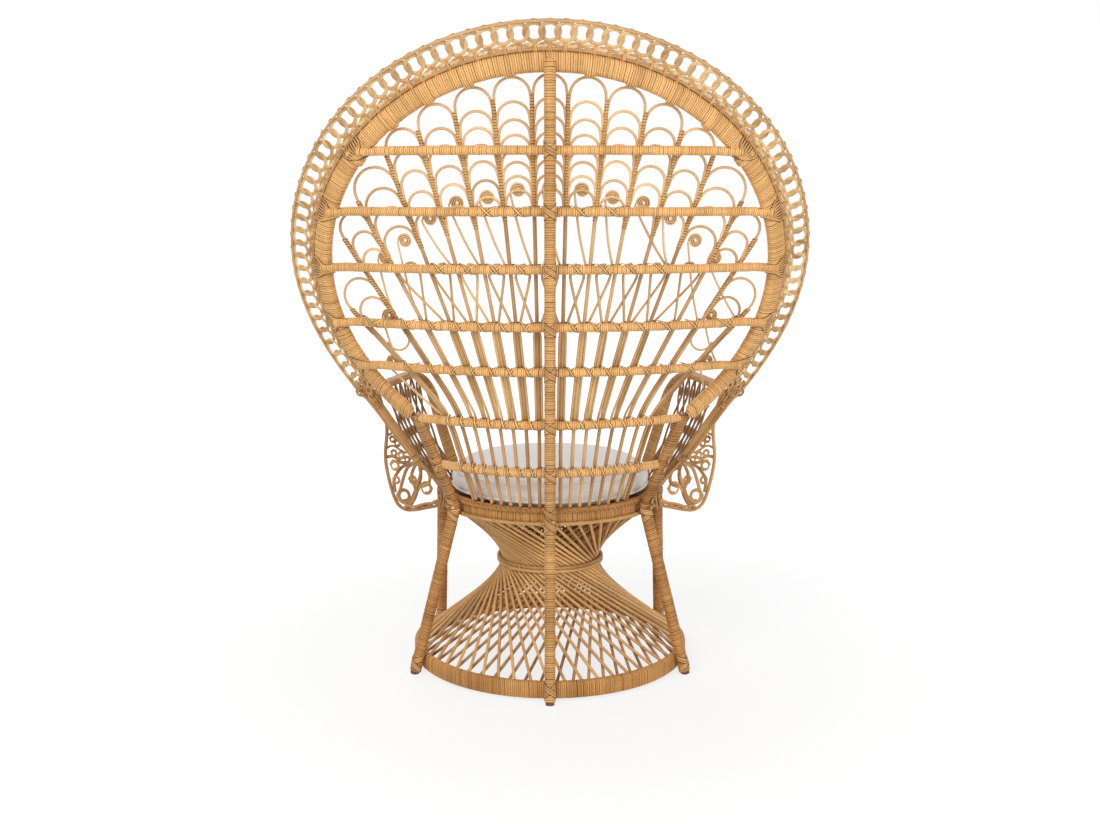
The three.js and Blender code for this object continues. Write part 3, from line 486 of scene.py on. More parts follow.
# Spine: a wrapped pole from the floor, up behind the back, that flattens onto the rim
spine = {"diameter": .0255, "pitch": .0052, "foot": .3551, "footLevel": .042, "knee": .4135, "out": .02305,
         "top": 1.424, "sinkFrom": 1.37, "topOut": .014, "rounding": .014, "shade": .52,
         "ties": ((.033, .034, 3), (.404, .034, 4), (.43, .026, 3))}
foot = np.array([0, axisY + spine["foot"], spine["footLevel"]])
knee = onBack(0, spine["knee"], spine["out"])
floorPoint = foot + (foot - knee) * (foot[2] / (knee[2] - foot[2]))
high = np.linspace(spine["knee"], spine["top"], 60)
sink = np.interp(high, (spine["sinkFrom"], spine["top"]), (spine["out"], spine["topOut"]))
spinePoints = np.concatenate([floorPoint + (knee - floorPoint) * np.linspace(0, .98, 20)[:, None],
                              onBack(np.zeros(60), high, sink)])
for _ in range(6):  # the knee at the seat is a soft bend
    spinePoints[1:-1] = (spinePoints[:-2] + 2 * spinePoints[1:-1] + spinePoints[2:]) / 4
spinePath = makePath(spinePoints, (0, 1, 0))


def rounded(left, length):
    share = np.clip(left / length, .02, 1)
    return np.sqrt(1 - (1 - share) ** 2)


def spineSwell(run, wide, thick):
    close = rounded(spinePath["length"] - run, spine["rounding"])
    return wide * close, thick * close


bundle = []
addWinding(bundle, spinePath, spine["diameter"], spine["diameter"], spine["pitch"], shade=spine["shade"],
           swell=spineSwell, span=(legs["bare"], spinePath["length"]), core=False)
# the pole under the peel is drawn near black in the groove's colour: painted shade, with some dust, between the turns
addCane(bundle, spinePath, spine["diameter"] * .9, sides=10, step=.03, tone=.1, edge=.8,
        span=(legs["bare"], spinePath["length"] - spine["rounding"] * .7))
makePiece("spine", bundle, rattanPeel, ["spine_post"])
bundle = []
addCane(bundle, spinePath, spine["diameter"] * .8, span=(0, legs["bare"] * 2), sides=16, step=.01, tone=.3)
makePiece("spineFoot", bundle, stain, [])

# Stiles: the rear legs go on above the seat as flat pairs
stile = {"width": .034, "thickness": .02, "pitch": .0062, "reach": .306, "level": .636, "lap": 1.035, "shade": .2,
         "facing": (.26, .55)}
bundle = []
stilePaths = {}
for side in (1, -1):
    low = onLeg(side, legAngles["rear"], np.array(legs["top"]))
    high = onBack(side * stile["reach"], stile["level"])
    facing = backNormal(np.array(side * stile["facing"][0]), np.array(stile["facing"][1]))
    stilePaths[side] = makePath(low + (high - low) * np.linspace(0, stile["lap"], 12)[:, None], np.cross(up, facing))
    addWinding(bundle, stilePaths[side], stile["width"], stile["thickness"], stile["pitch"], shade=stile["shade"],
               sides=16)
makePiece("stiles", bundle, rattanPeel, ["side_stile_left", "side_stile_right"])

# Rim: two poles wrapped side by side, with a bump where an arch is lashed to it
rimAngle = np.linspace(-rim["end"], rim["end"], 361)
rimMiddle, _, _, rimOuter = rimFrame(rimAngle)
rimPath = makePath(rimMiddle, rimOuter)
bumps = {"angles": [0, 9.5, 19.8, 30.5, 41.8, 55], "length": .024, "depth": .005}
bumpRuns = [np.interp(side * a, rimAngle, rimPath["run"]) for a in bumps["angles"] for side in (1, -1)]


def rimSwell(run, wide, thick):
    near = np.min(np.abs(run[..., None] - np.array(bumpRuns)), axis=-1)
    grown = np.clip((bumps["length"] / 2 - near) / .003, 0, 1) * bumps["depth"]
    wide = wide - grown * np.clip(-wide / (rim["width"] / 2), 0, 1)
    close = rounded(np.minimum(run, rimPath["length"] - run), rim["rounding"])
    return wide * close, thick * (1 + .12 * grown / bumps["depth"]) * close


bundle = []
addWinding(bundle, rimPath, rim["width"], rim["thickness"], rim["pitch"], shade=rim["shade"], sides=18,
           swell=rimSwell, core=False)
# the pole under the peel is drawn near black in the groove's colour: painted shade, with some dust, between the turns
addCane(bundle, rimPath, rim["width"] * .9, rim["thickness"] * .88, sides=12, span=(.016, rimPath["length"] - .016),
        tone=.1, edge=.8, taper=((0, .006, .994, 1), (.75, 1, 1, .75)))
makePiece("rim", bundle, rattanPeel, ["back_rim"])

# Rails: wrapped poles across the back. Their ends lap on the rim.
rails = {"heights": [1.238, 1.11, .986, .859, .758, .636, .522], "onRim": 5, "lowReach": .272, "diameter": .02,
         "pitch": .0047, "lap": .012, "shade": .84}
bundle = []
for index, level in enumerate(rails["heights"]):
    onRim = index < rails["onRim"]
    if onRim:
        reach = rim["halfWidth"] * math.sqrt(1 - ((level - rim["centre"]) / rim["halfHeight"]) ** 2) - .004
    else:  # the lower two end on the stiles
        reach = stile["reach"] if index == rails["onRim"] else rails["lowReach"]
    x = np.linspace(-reach, reach, 61)
    lap = np.interp(np.abs(x), (reach - .05, reach), (0, rails["lap"] if onRim else 0))
    railPath = backPath(np.stack([x, np.full_like(x, level)], -1), lap)
    addWinding(bundle, railPath, rails["diameter"], rails["diameter"], rails["pitch"], shade=rails["shade"], sides=12)
makePiece("rails", bundle, rattanPeel, ["back_rail_%d" % (i + 1) for i in range(7)])

# Rail ends: strips fan out from the rail over the rim's rear face
fanned = {"strips": 8, "spread": 2.7, "strip": .0046, "begin": .034, "half": .0075}
for level in rails["heights"][:rails["onRim"]]:
    middleAngle = math.degrees(math.acos((level - rim["centre"]) / rim["halfHeight"]))
    for side in (1, -1):
        for lean in np.linspace(-1, 1, fanned["strips"]):
            near, rear, _, outer = rimFrame(np.array(side * (middleAngle + lean * fanned["spread"] * .45)))
            far, farRear, _, farOuter = rimFrame(np.array(side * (middleAngle + lean * fanned["spread"])))
            x = abs(near[0]) - fanned["begin"]
            start = onBack(side * x, level - lean * fanned["half"], .0108)
            keys = [start, near + rear * .0142 - outer * .011, far + farRear * .0143 + farOuter * .008,
                    far + farRear * .009 + farOuter * .0202, far - farRear * .004 + farOuter * .0225]
            addStrip(crosses, makePath(smoothLine(keys, 18), rear), .0014, fanned["strip"], pick(.6))

# Lashings of the spine at each rail and at the seat
for level in rails["heights"]:
    run = np.interp(level, spinePath["points"][:, 2], spinePath["run"])
    addCross(crosses, spinePath, run, spine["diameter"] / 2, .03)
for level, rise, strips in spine["ties"]:
    run = np.interp(level, spinePath["points"][:, 2], spinePath["run"])
    addCross(crosses, spinePath, run, spine["diameter"] / 2 + .0004, rise, strips=strips, shade=.5)
for side in (1, -1):
    addCross(crosses, stilePaths[side], stilePaths[side]["length"] * .48, .0115, .03)
    addCross(crosses, stilePaths[side], .012, .0125, .03)
makePiece("poleLashings", crosses, rattanPeel, [])

# Fan: ribs that rise from the seat, with stacked arches, scrolls, tails and ribbon loops between them
fan = {"out": -.0155, "cane": .0086, "arch": .0062, "thin": .0052, "loop": .0062, "doubled": 6,
       "seatLevel": .4338, "seatStart": .025, "seatStep": .0235,
       "kneeLevel": .65, "kneeStart": .025, "kneeStep": .0315, "kneeRound": .06,
       "rimAngles": [4.5, 14.5, 25, 36, 47.5, 63.5, 77, 100],
       "drops": [[.044, .036, .032, .03, .026, .029, .029], [.045, .035, .03, .029, .025, .028, .028],
                 [.044, .033, .034, .033, .038, .034], [.046, .035, .042, .037, .046], [.044, .041, .044, .044],
                 [.042, .042, .042], [.042, .042], [.045]],
       "scrolls": [(0, 1.158), (.0693, 1.1526), (.1359, 1.1364), (.2034, 1.1243), (.2644, 1.0907), (.3239, 1.0424),
                   (.3731, 1.003), (.373, .8702), (.3721, .7593)], "scroll": .0174, "turns": 3.1,
       "tail": .026, "tuck": .0032, "topInset": .0034, "lowInset": .0058,
       "binding": (.0122, .0104, .0062),
       "loopTop": [(-.5, -.026), (-.44, -.009), (-.25, .005), (0, .0088), (.25, .005), (.44, -.009), (.5, -.026)],
       "hanging": [(.332, .846), (.3285, .8116), (.3397, .7944), (.3574, .7881), (.3752, .7944), (.3817, .8057)]}
railZ = rails["heights"]


def ribKeys(side, k):
    seat = np.array([side * (fan["seatStart"] + fan["seatStep"] * k), fan["seatLevel"]])
    knee = np.array([side * (fan["kneeStart"] + fan["kneeStep"] * k), fan["kneeLevel"]])
    return seat, knee, rimPlane(np.array(side * fan["rimAngles"][k]), -.014)


def ribX(side, k, z):
    seat, knee, top = ribKeys(side, k)
    return np.interp(z, (seat[1], knee[1], top[1]), (seat[0], knee[0], top[0]))


def insideRim(points, margin):
    flat = (points - np.array([0, rim["centre"]])) / (np.array([rim["halfWidth"], rim["halfHeight"]]) - margin)
    return np.all(np.sum(flat ** 2, axis=-1) < 1)


# A column is the space between two ribs, with the arches stacked in it.
def makeColumn(a, b):
    (_, kneeA, topA), (_, kneeB, topB) = ribKeys(*a), ribKeys(*b)
    headA, headB = unit(topA - kneeA), unit(topB - kneeB)
    axis = unit(headA + headB)
    foot = (kneeA + kneeB) / 2

    def onRib(knee, head, level):
        return knee + head * ((level - np.dot(knee - foot, axis)) / np.dot(head, axis))
    return {"axis": axis, "foot": foot, "a": lambda level: onRib(kneeA, headA, level),
            "b": lambda level: onRib(kneeB, headB, level)}


def archLine(column, level, insets):
    across = unit(column["b"](level) - column["a"](level))
    start, end = column["a"](level) + across * insets[0], column["b"](level) - across * insets[1]
    half = np.linalg.norm(end - start) / 2
    turn = np.radians(np.linspace(180, 0, 17))
    flat, tall = np.cos(turn) * half, np.sin(turn) * half * .94
    bow = (start + end) / 2 + np.outer(flat, across) + np.outer(tall, column["axis"])
    low = [[column[key](level - fan["tail"] * s) + way * across * max(inset - fan["tuck"] * s, 0) for s in (1, .5)]
           for key, way, inset in (("a", 1, insets[0]), ("b", -1, insets[1]))]
    return np.concatenate([low[0], bow, low[1][::-1]])


ribs, bindings = [], []
columns = [((-1, 0), (1, 0), 0)] + [((s, k), (s, k + 1), k + 1) for s in (1, -1) for k in range(7)]
ribTop, ribLow = {}, {}  # the highest and the lowest arch on each rib
for a, b, kind in columns:
    column = makeColumn(a, b)
    level = .9
    top = (fan["topInset"], fan["topInset"] if kind < 5 else .0006)  # an outer rib runs on as its arch's leg
    while not insideRim(archLine(column, level, top), rim["width"] / 2 + fan["arch"] * .5):
        level -= .002
    for key, end in (("a", a), ("b", b)):
        ribTop[end] = max(ribTop.get(end, 0), column[key](level)[1])
    for i, drop in enumerate([0] + fan["drops"][kind]):
        level -= drop
        line = archLine(column, level, (fan["lowInset"], fan["lowInset"]) if i else top)
        addCane(ribs, backPath(line, fan["out"]), fan["arch"], sides=7, step=.008, tone=pick(.62),
                taper=((0, .1, .9, 1), (.7, 1, 1, .7)))
    for key, end in (("a", a), ("b", b)):
        ribLow[end] = min(ribLow.get(end, 9), column[key](level)[1])

for side in (1, -1):
    for k in range(8):
        seat, knee, top = ribKeys(side, k)
        endZ = min(ribTop[side, k] - .006, top[1])
        top = knee + (top - knee) * (endZ - knee[1]) / (top[1] - knee[1])
        before = knee + unit(seat - knee) * fan["kneeRound"]
        after = knee + unit(top - knee) * fan["kneeRound"]
        u = np.linspace(0, 1, 9)[:, None]
        bend = (1 - u) ** 2 * before + 2 * u * (1 - u) * knee + u ** 2 * after
        line = np.concatenate([seat + (before - seat) * np.linspace(0, .95, 7)[:, None], bend,
                               after + (top - after) * np.linspace(.03, 1, 40)[:, None]])
        ribPath = backPath(line, fan["out"])
        addCane(ribs, ribPath, fan["cane"], tone=pick(.36), taper=((0, .95, 1), (1, 1, .55)))
        low = np.interp(ribLow[side, k] - .03, line[:, 1], ribPath["run"])
        addWinding(bindings, ribPath, *fan["binding"], span=(low, ribPath["length"]), cover=.72, sides=10, shade=.58,
                   core=False, tilt=.6)
        if k >= fan["doubled"]:  # the outer ribs are doubled below the fourth rail
            sideways = line + np.array([side * -.0078, 0])
            span = [np.interp(z, line[:, 1], ribPath["run"]) for z in (.436 if k == 7 else .622, .866)]
            addCane(ribs, backPath(sideways, fan["out"]), fan["cane"] * .8, step=.02, span=span, tone=pick(.38))

# Scrolls all turn the same way. Each one's tail runs down to the rib on the viewer's right.
for x, z in fan["scrolls"]:
    for side in (1, -1) if x else (1,):
        middle = np.array([side * x, z])
        turn = np.linspace(0, fan["turns"] * math.tau, 64)
        radius = np.linspace(fan["scroll"] - .0019, .0026, 64)
        spiral = np.stack([np.cos(turn), np.sin(turn)], -1)
        curl = middle + spiral * radius[:, None]
        below = max(level for level in railZ if level < z - .06)
        ribPlaces = [ribX(s, k, below) for s in (1, -1) for k in range(8)]
        rib = max((p for p in ribPlaces if p < middle[0] - .004), default=middle[0] - .03)
        low = np.array([rib + .0065, below - .004])
        leave = curl[0] + np.array([0, -.012])
        tail = smoothLine([low, (low * .55 + leave * .45) + np.array([.004, 0]), leave, curl[0]], 16)
        scrollPath = backPath(np.concatenate([tail[:-1], curl]), fan["out"] - .003)
        addCane(ribs, scrollPath, fan["thin"], sides=6, step=.004, tone=pick(.7),
                taper=((0, .3, .42, 1), (1, 1, .84, .8)))
        inner = radius - (radius[0] - radius[-1]) / fan["turns"] / 2
        shadowLine = (middle + spiral * inner[:, None])[:46]
        addCane(ribs, backPath(shadowLine, fan["out"] - .0022), .0013, sides=5, step=.004, tone=0, edge=1)

# Ribbon loops: one cane per column, over the third rail, crossed, and down beside the ribs to the sixth
loops = [((-1, 0), (1, 0))] + [((s, k), (s, k + 1)) for s in (1, -1) for k in range(5)]
for a, b in loops:
    if ribX(*a, .9) > ribX(*b, .9):
        a, b = b, a
    third, fourth, sixth = railZ[2], railZ[3], railZ[5]
    ends = np.array([ribX(*a, third), ribX(*b, third)])

    def beside(way, z, gap=.0068):
        rib = b if way > 0 else a
        return [ribX(*rib, z) - way * gap, z]
    levels = np.linspace(fourth - .02, sixth - .0165, 8)
    left = [beside(1, z) for z in levels[::-1]] + [beside(1, fourth, .008)]
    bow = [[ends.mean() + (ends[1] - ends[0]) / 2 * across, third + rise] for across, rise in fan["loopTop"]]
    right = [beside(-1, fourth, .008)] + [beside(-1, z) for z in levels]
    line = smoothLine(left + bow + right, 90)
    depth = fan["out"] + np.interp(np.arange(90), (0, 36, 46, 53, 90), (0, -.003, -.002, .003, 0))
    addCane(ribs, backPath(line, depth), fan["loop"], sides=6, step=.01, tone=pick(.46))

# Short hanging loops near the rim below the fourth rail
for side in (1, -1):
    keys = [(side * x, z) for x, z in fan["hanging"]]
    addCane(ribs, backPath(smoothLine(keys, 20), fan["out"] - .004), fan["thin"], sides=6, step=.008, tone=pick(.6))
fanNodes = ["fan_rib_%s_%d" % (s, k) for s in ("left", "right") for k in range(1, 9)]
makePiece("fanCanes", ribs, rattanCane, fanNodes)
makePiece("fanBindings", bindings, rattanPeel, [])

# Rail lashings: two strips wind along a rail in opposite ways and catch each rib in front
lashing = {"width": .0037, "middle": -.0049, "deep": .0162, "tall": .0112, "ribs": [3, 5, 8, 8, 8, 8]}
bundle = []
for level, count in zip(railZ[1:], lashing["ribs"]):  # the top rail has none
    stops = np.sort([ribX(s, k, level) for s in (-1, 1) for k in range(count)])
    t = np.linspace(0, len(stops) - 1, (len(stops) - 1) * 14 + 1)
    x = np.interp(t, np.arange(len(stops)), stops)
    for way in (1, -1):
        phase = math.pi + way * math.tau * t
        grow = .0005 * way
        out = lashing["middle"] + (lashing["deep"] + grow) * np.cos(phase)
        z = level + (lashing["tall"] + grow) * np.sin(phase)
        points = onBack(x, z, out)
        centre = onBack(x, np.full_like(x, level), lashing["middle"])
        addStrip(bundle, makePath(points, points - centre), .0014, lashing["width"], pick(.84))
makePiece("railLashings", bundle, rattanPeel, [])

# Seat: a wrapped band between a rope trim and a bare cane, and a woven deck
seat = {"radius": .2495, "middle": .4135, "height": .04, "thickness": .019, "pitch": .0056, "trim": .2638,
        "trimGap": .0155, "rope": .0066, "lay": .024, "trimCane": .009, "tieGap": .052, "tie": .0126, "shade": .58}
bundle = []
addWinding(bundle, hoopPath(seat["radius"], fullTurn, seat["middle"]), seat["height"], seat["thickness"],
           seat["pitch"], shade=seat["shade"], spread=.05)
makePiece("seatBand", bundle, agedPeel, ["seat_hoop"])
bundle = []
turn = np.linspace(0, 360, 561)
lays = round(seat["trim"] * math.tau / seat["lay"])
for start in (0, math.pi):
    phase = np.radians(turn) * lays + start
    twist = seat["rope"] * .48
    ropePath = hoopPath(seat["trim"] + .0005 + np.cos(phase) * twist, turn,
                        seat["middle"] + seat["trimGap"] + np.sin(phase) * twist)
    addCane(bundle, ropePath, seat["rope"], sides=6, step=.0042, tone=pick(.5))
makePiece("seatRope", bundle, agedPeel, ["seat_trim_upper"])
bundle = []
trimPath = hoopPath(seat["trim"], turn, seat["middle"] - seat["trimGap"])
addCane(bundle, trimPath, seat["trimCane"], step=.016, tone=.5)
for run in np.arange(.02, trimPath["length"] - .02, seat["tieGap"]):
    addWinding(bundle, trimPath, .0106, .0106, .0042, span=(run, run + seat["tie"]), sides=8, shade=.6, core=False)
makePiece("seatTrim", bundle, agedCane, ["seat_trim_lower"])

# The deck's low shade is painted shade under the cushion.
deck = {"radius": .2385, "level": .419, "strip": .0182, "gap": .0205, "thick": .0018, "shade": .2}
bundle = []
lines = np.arange(-11, 12) * deck["gap"]
for way in (0, 1):
    for i, offset in enumerate(lines):
        reach = math.sqrt(max(deck["radius"] ** 2 - offset ** 2, .0004))
        u = np.linspace(-reach, reach, max(6, int(reach * 2 / .0068)))
        ripple = np.cos(math.pi * (u / deck["gap"] + i + way)) * deck["thick"] * .8
        flat = np.stack([u, np.full_like(u, offset), ripple + deck["level"]], -1)
        points = axisPoint + (flat[:, [1, 0, 2]] if way else flat)
        addCane(bundle, makePath(points, up), deck["thick"], deck["strip"], sides=6, step=.0068,
                tone=pick(deck["shade"]))
makePiece("seatDeck", bundle, agedCane, ["seat_deck"])

# Lace border: linked rings between a pair of outer canes and an inner rod, with two crossing strands
lace = {"tilt": math.radians(8), "end": 126, "pitch": .0322, "ring": .02, "ringMiddle": .0388, "strip": .0092,
        "thick": .0026, "squash": .9, "inner": .004, "outer": .0605, "rod": .008, "pair": .0052, "weave": .0018,
        "fish": .0127, "swing": .0036, "fishStrand": .0062, "fishThick": .0021, "inset": .022}


# A place on the border: along the rim by angle, outward by across, towards the rear by out
def onBorder(angle, across, out=0.):
    middle, rear, along, outer = rimFrame(angle)
    across, out = [np.broadcast_to(np.asarray(v, float), np.shape(angle))[..., None] for v in (across, out)]
    reach = outer * math.cos(lace["tilt"]) + rear * math.sin(lace["tilt"])
    face = rear * math.cos(lace["tilt"]) - outer * math.sin(lace["tilt"])
    start = (rim["width"] - rim["thickness"]) / 2
    return middle + outer * start + reach * (rim["thickness"] / 2 + .0003 + across) + face * out, reach, face


borderAngles = np.linspace(-lace["end"], lace["end"], 721)
middleLine = onBorder(borderAngles, lace["ringMiddle"])[0]
borderRun = np.concatenate([[0], np.cumsum(np.linalg.norm(np.diff(middleLine, axis=0), axis=1))])
ringCount = round((borderRun[-1] - 2 * lace["inset"]) / lace["pitch"]) + 1
ringRuns = np.linspace(lace["inset"], borderRun[-1] - lace["inset"], ringCount)
bundle = []
for across, out, size in ((lace["inner"], 0, lace["rod"]), (lace["outer"], .0027, lace["pair"]),
                          (lace["outer"] + .001, -.0027, lace["pair"])):
    points, reach, _ = onBorder(borderAngles, across, out)
    addCane(bundle, makePath(points, reach), size, step=.014, tone=pick(.48))

points, reach, _ = onBorder(borderAngles, -.001, -.0035)  # a dark strip behind the gap between the rim and the rod: painted shade
addCane(bundle, makePath(points, reach), .007, .0016, sides=6, step=.014, tone=.02, edge=1)

half, thin = lace["strip"] / 2, lace["thick"] / 2
section = [(-half, 0), (-half * .5, thin), (half * .5, thin), (half, 0), (half * .5, -thin), (-half * .5, -thin)]
bm = spinProfile([(lace["ring"] + x, 0, z) for x, z in section], 18, closed=True)
bmesh.ops.recalc_face_normals(bm, faces=bm.faces)
mesh = repeatMesh(keepMesh("ring", bm), ringCount)
place = readPlaces(mesh).reshape(ringCount, -1, 3)
spread = np.arctan2(place[..., 1], place[..., 0])
run = ringRuns[:, None] + place[..., 0]
angle = np.interp(run, borderRun, borderAngles)
overrun = run - np.clip(run, 0, borderRun[-1])
across = lace["ringMiddle"] + place[..., 1] * lace["squash"]
points, reach, face = onBorder(angle, across, place[..., 2] + lace["weave"] * np.sin(2 * spread))
points = points - np.cross(reach, face) * overrun[..., None]  # the end rings reach past the border's end
# each ring is darker at its two ends along the border, where the rings overlap: painted shade
tone = np.clip(chance.normal(.56, .15, (ringCount, 1)) - .2 * np.cos(spread) ** 4, 0, 1)
writePlaces(mesh, points.reshape(-1, 3), tone.ravel(), 0)
bundle.append(mesh)

for way in (1, -1):  # the crossing strands between the rings and the rim
    run = np.linspace(0, borderRun[-1], ringCount * 10)
    phase = (run - ringRuns[0]) / lace["pitch"] * math.pi
    angle = np.interp(run, borderRun, borderAngles)
    wave = lace["swing"] * np.sin(phase)
    points, reach, _ = onBorder(angle, lace["fish"] + way * wave, way * .0011 * np.cos(phase) + .0002)
    addCane(bundle, makePath(points, reach), lace["fishStrand"], lace["fishThick"], sides=6, step=.0034,
            tone=.48 + way * .15)
makePiece("laceRings", bundle, rattanCane, ["lace_inner_rod", "lace_rings_rear", "lace_rings_front"])

bundle = []
laceTies = [(lace["outer"] + .0005, .0102, .0078), (.0066, .0165, .0088), (lace["fish"] + .0055, .008, .006)]
for across, wide, thick in laceTies:
    for run in ringRuns:
        here = np.interp(run + np.linspace(-.004, .004, 3), borderRun, borderAngles)
        points, reach, _ = onBorder(here, across)
        addWinding(bundle, makePath(points, reach), wide, thick, .0038, sides=8, shade=.6, core=False)
makePiece("laceBindings", bundle, rattanPeel, [])

# Arms: a wrapped rail from the rim to the front of the seat, a stem of canes, a lace skirt and a lattice
arms = {"width": .032, "thickness": .018, "pitch": .0056, "shade": .5, "reach": .412, "height": .68, "front": .245,
        "rimAngle": 133, "post": 124, "trim": .2683}
stem = {"angle": 76, "cane": .0078, "begin": 3.5, "across": .0402, "knot": .69, "ties": (.05, .9), "tie": .0135,
        "canes": [(-1.5, 0, .004), (-.5, 0, .022), (.5, 0, .046), (1.5, 0, .0605), (-1, 1, .013), (0, 1, .034),
                  (1, 1, .055)]}
skirt = {"angle": 86, "reach": .414, "low": .35, "hoop": .0088, "curl": .0054, "bow": .0062, "stemBow": .0088}
panel = {"begin": 4, "turn": 28, "railBegin": .24, "railShare": .3, "bulge": .02, "strands": 7, "wave": .062,
         "strand": .0056, "curl": .0115, "curlCane": .0044}
endCurls = [(.006, .008, .0105), (.024, .015, .0125), (.045, .011, .0125), (.059, .001, .0095), (.034, -.004, .012)]


# The rail's line: from the rim, forward along the side, round the front and down to the seat
def armKeys(side):
    rear = rimFrame(side * arms["rimAngle"])[0]
    foot = around(arms["trim"] + .0003 + arms["width"] / 2, side * arms["post"], seat["middle"] - seat["trimGap"])
    spots = [(0, .03, 0), (.02, -.1, 0), (.06, .05 - arms["front"], 0), (.094, -arms["front"], .045)]
    spots = [np.array([side * (arms["reach"] - x), axisY + y, arms["height"] - z]) for x, y, z in spots]
    return [rear, *spots, spots[-1] + (foot - spots[-1]) * .4, foot]


def addCurl(bundle, centre, right, rise, size, turns, width, tone):
    turn = np.linspace(0, math.tau * turns, int(22 * turns))
    radius = np.linspace(size, size * .62, len(turn))
    points = centre + right * (np.cos(turn) * radius)[:, None] + rise * (np.sin(turn) * radius)[:, None]
    addCane(bundle, makePath(points, np.cross(right, rise)), width * .8, width, sides=6, step=.006, tone=tone)


# Where the skirt's curls sit, and the bows between them; a bow passes the stem's end at each None
curls = [(.3907, .471, .0138), (.3666, .396, .018), (.3087, .4215, .0172), (.3164, .48, .0128), (.3953, .538, .009),
         (.3828, .529, .0092), (.3922, .5027, .0092), (.3732, .4995, .0095), (.3573, .49, .0088), (.344, .439, .0115),
         (.3871, .434, .0105)]
bows = [[(.3988, .482), (.3758, .481), (.3532, .48), None, (.3194, .4935)],
        [None, (.3573, .468), (.3712, .432), (.3773, .41), (.385, .392), (.3686, .3775), (.3502, .388), (.3389, .41),
         (.3297, .436), (.3225, .462), None],
        [None, (.341, .468), (.3461, .446), (.3363, .414), (.3435, .388), (.3584, .372), (.3686, .364)],
        [None, (.3225, .454), (.3287, .427), (.3399, .391), (.3563, .3675), (.3666, .3615)],
        [(.3435, .392), (.3338, .407), (.3205, .431), (.3051, .4335), (.2923, .421)],
        [None, (.3071, .472), (.2984, .452), (.303, .434), (.3184, .426)],
        [None, (.3666, .472), (.3835, .454), (.3942, .432), (.3912, .402)],
        [(.3657, .3605), (.341, .3615), (.3082, .371), (.257, .385)],
        [(.3666, .3765), (.343, .372), (.3123, .383), (.257, .394)],
        [(.3666, .366), (.3584, .3605), (.343, .372), (.3276, .364), (.3102, .382), (.2938, .3765), (.257, .389)],
        [(.3655, .361), (.3584, .371), (.343, .3615), (.3276, .375), (.3102, .3715), (.2938, .386), (.257, .3815)],
        [(.4116, .516), (.3942, .523), (.3758, .514), (.3594, .507)],
        [(.4142, .491), (.3963, .4945), (.3799, .489), (.3614, .496), None],
        [(.4065, .549), (.3901, .556), (.3758, .547)]]
wound, canes, lattice = [], [], []
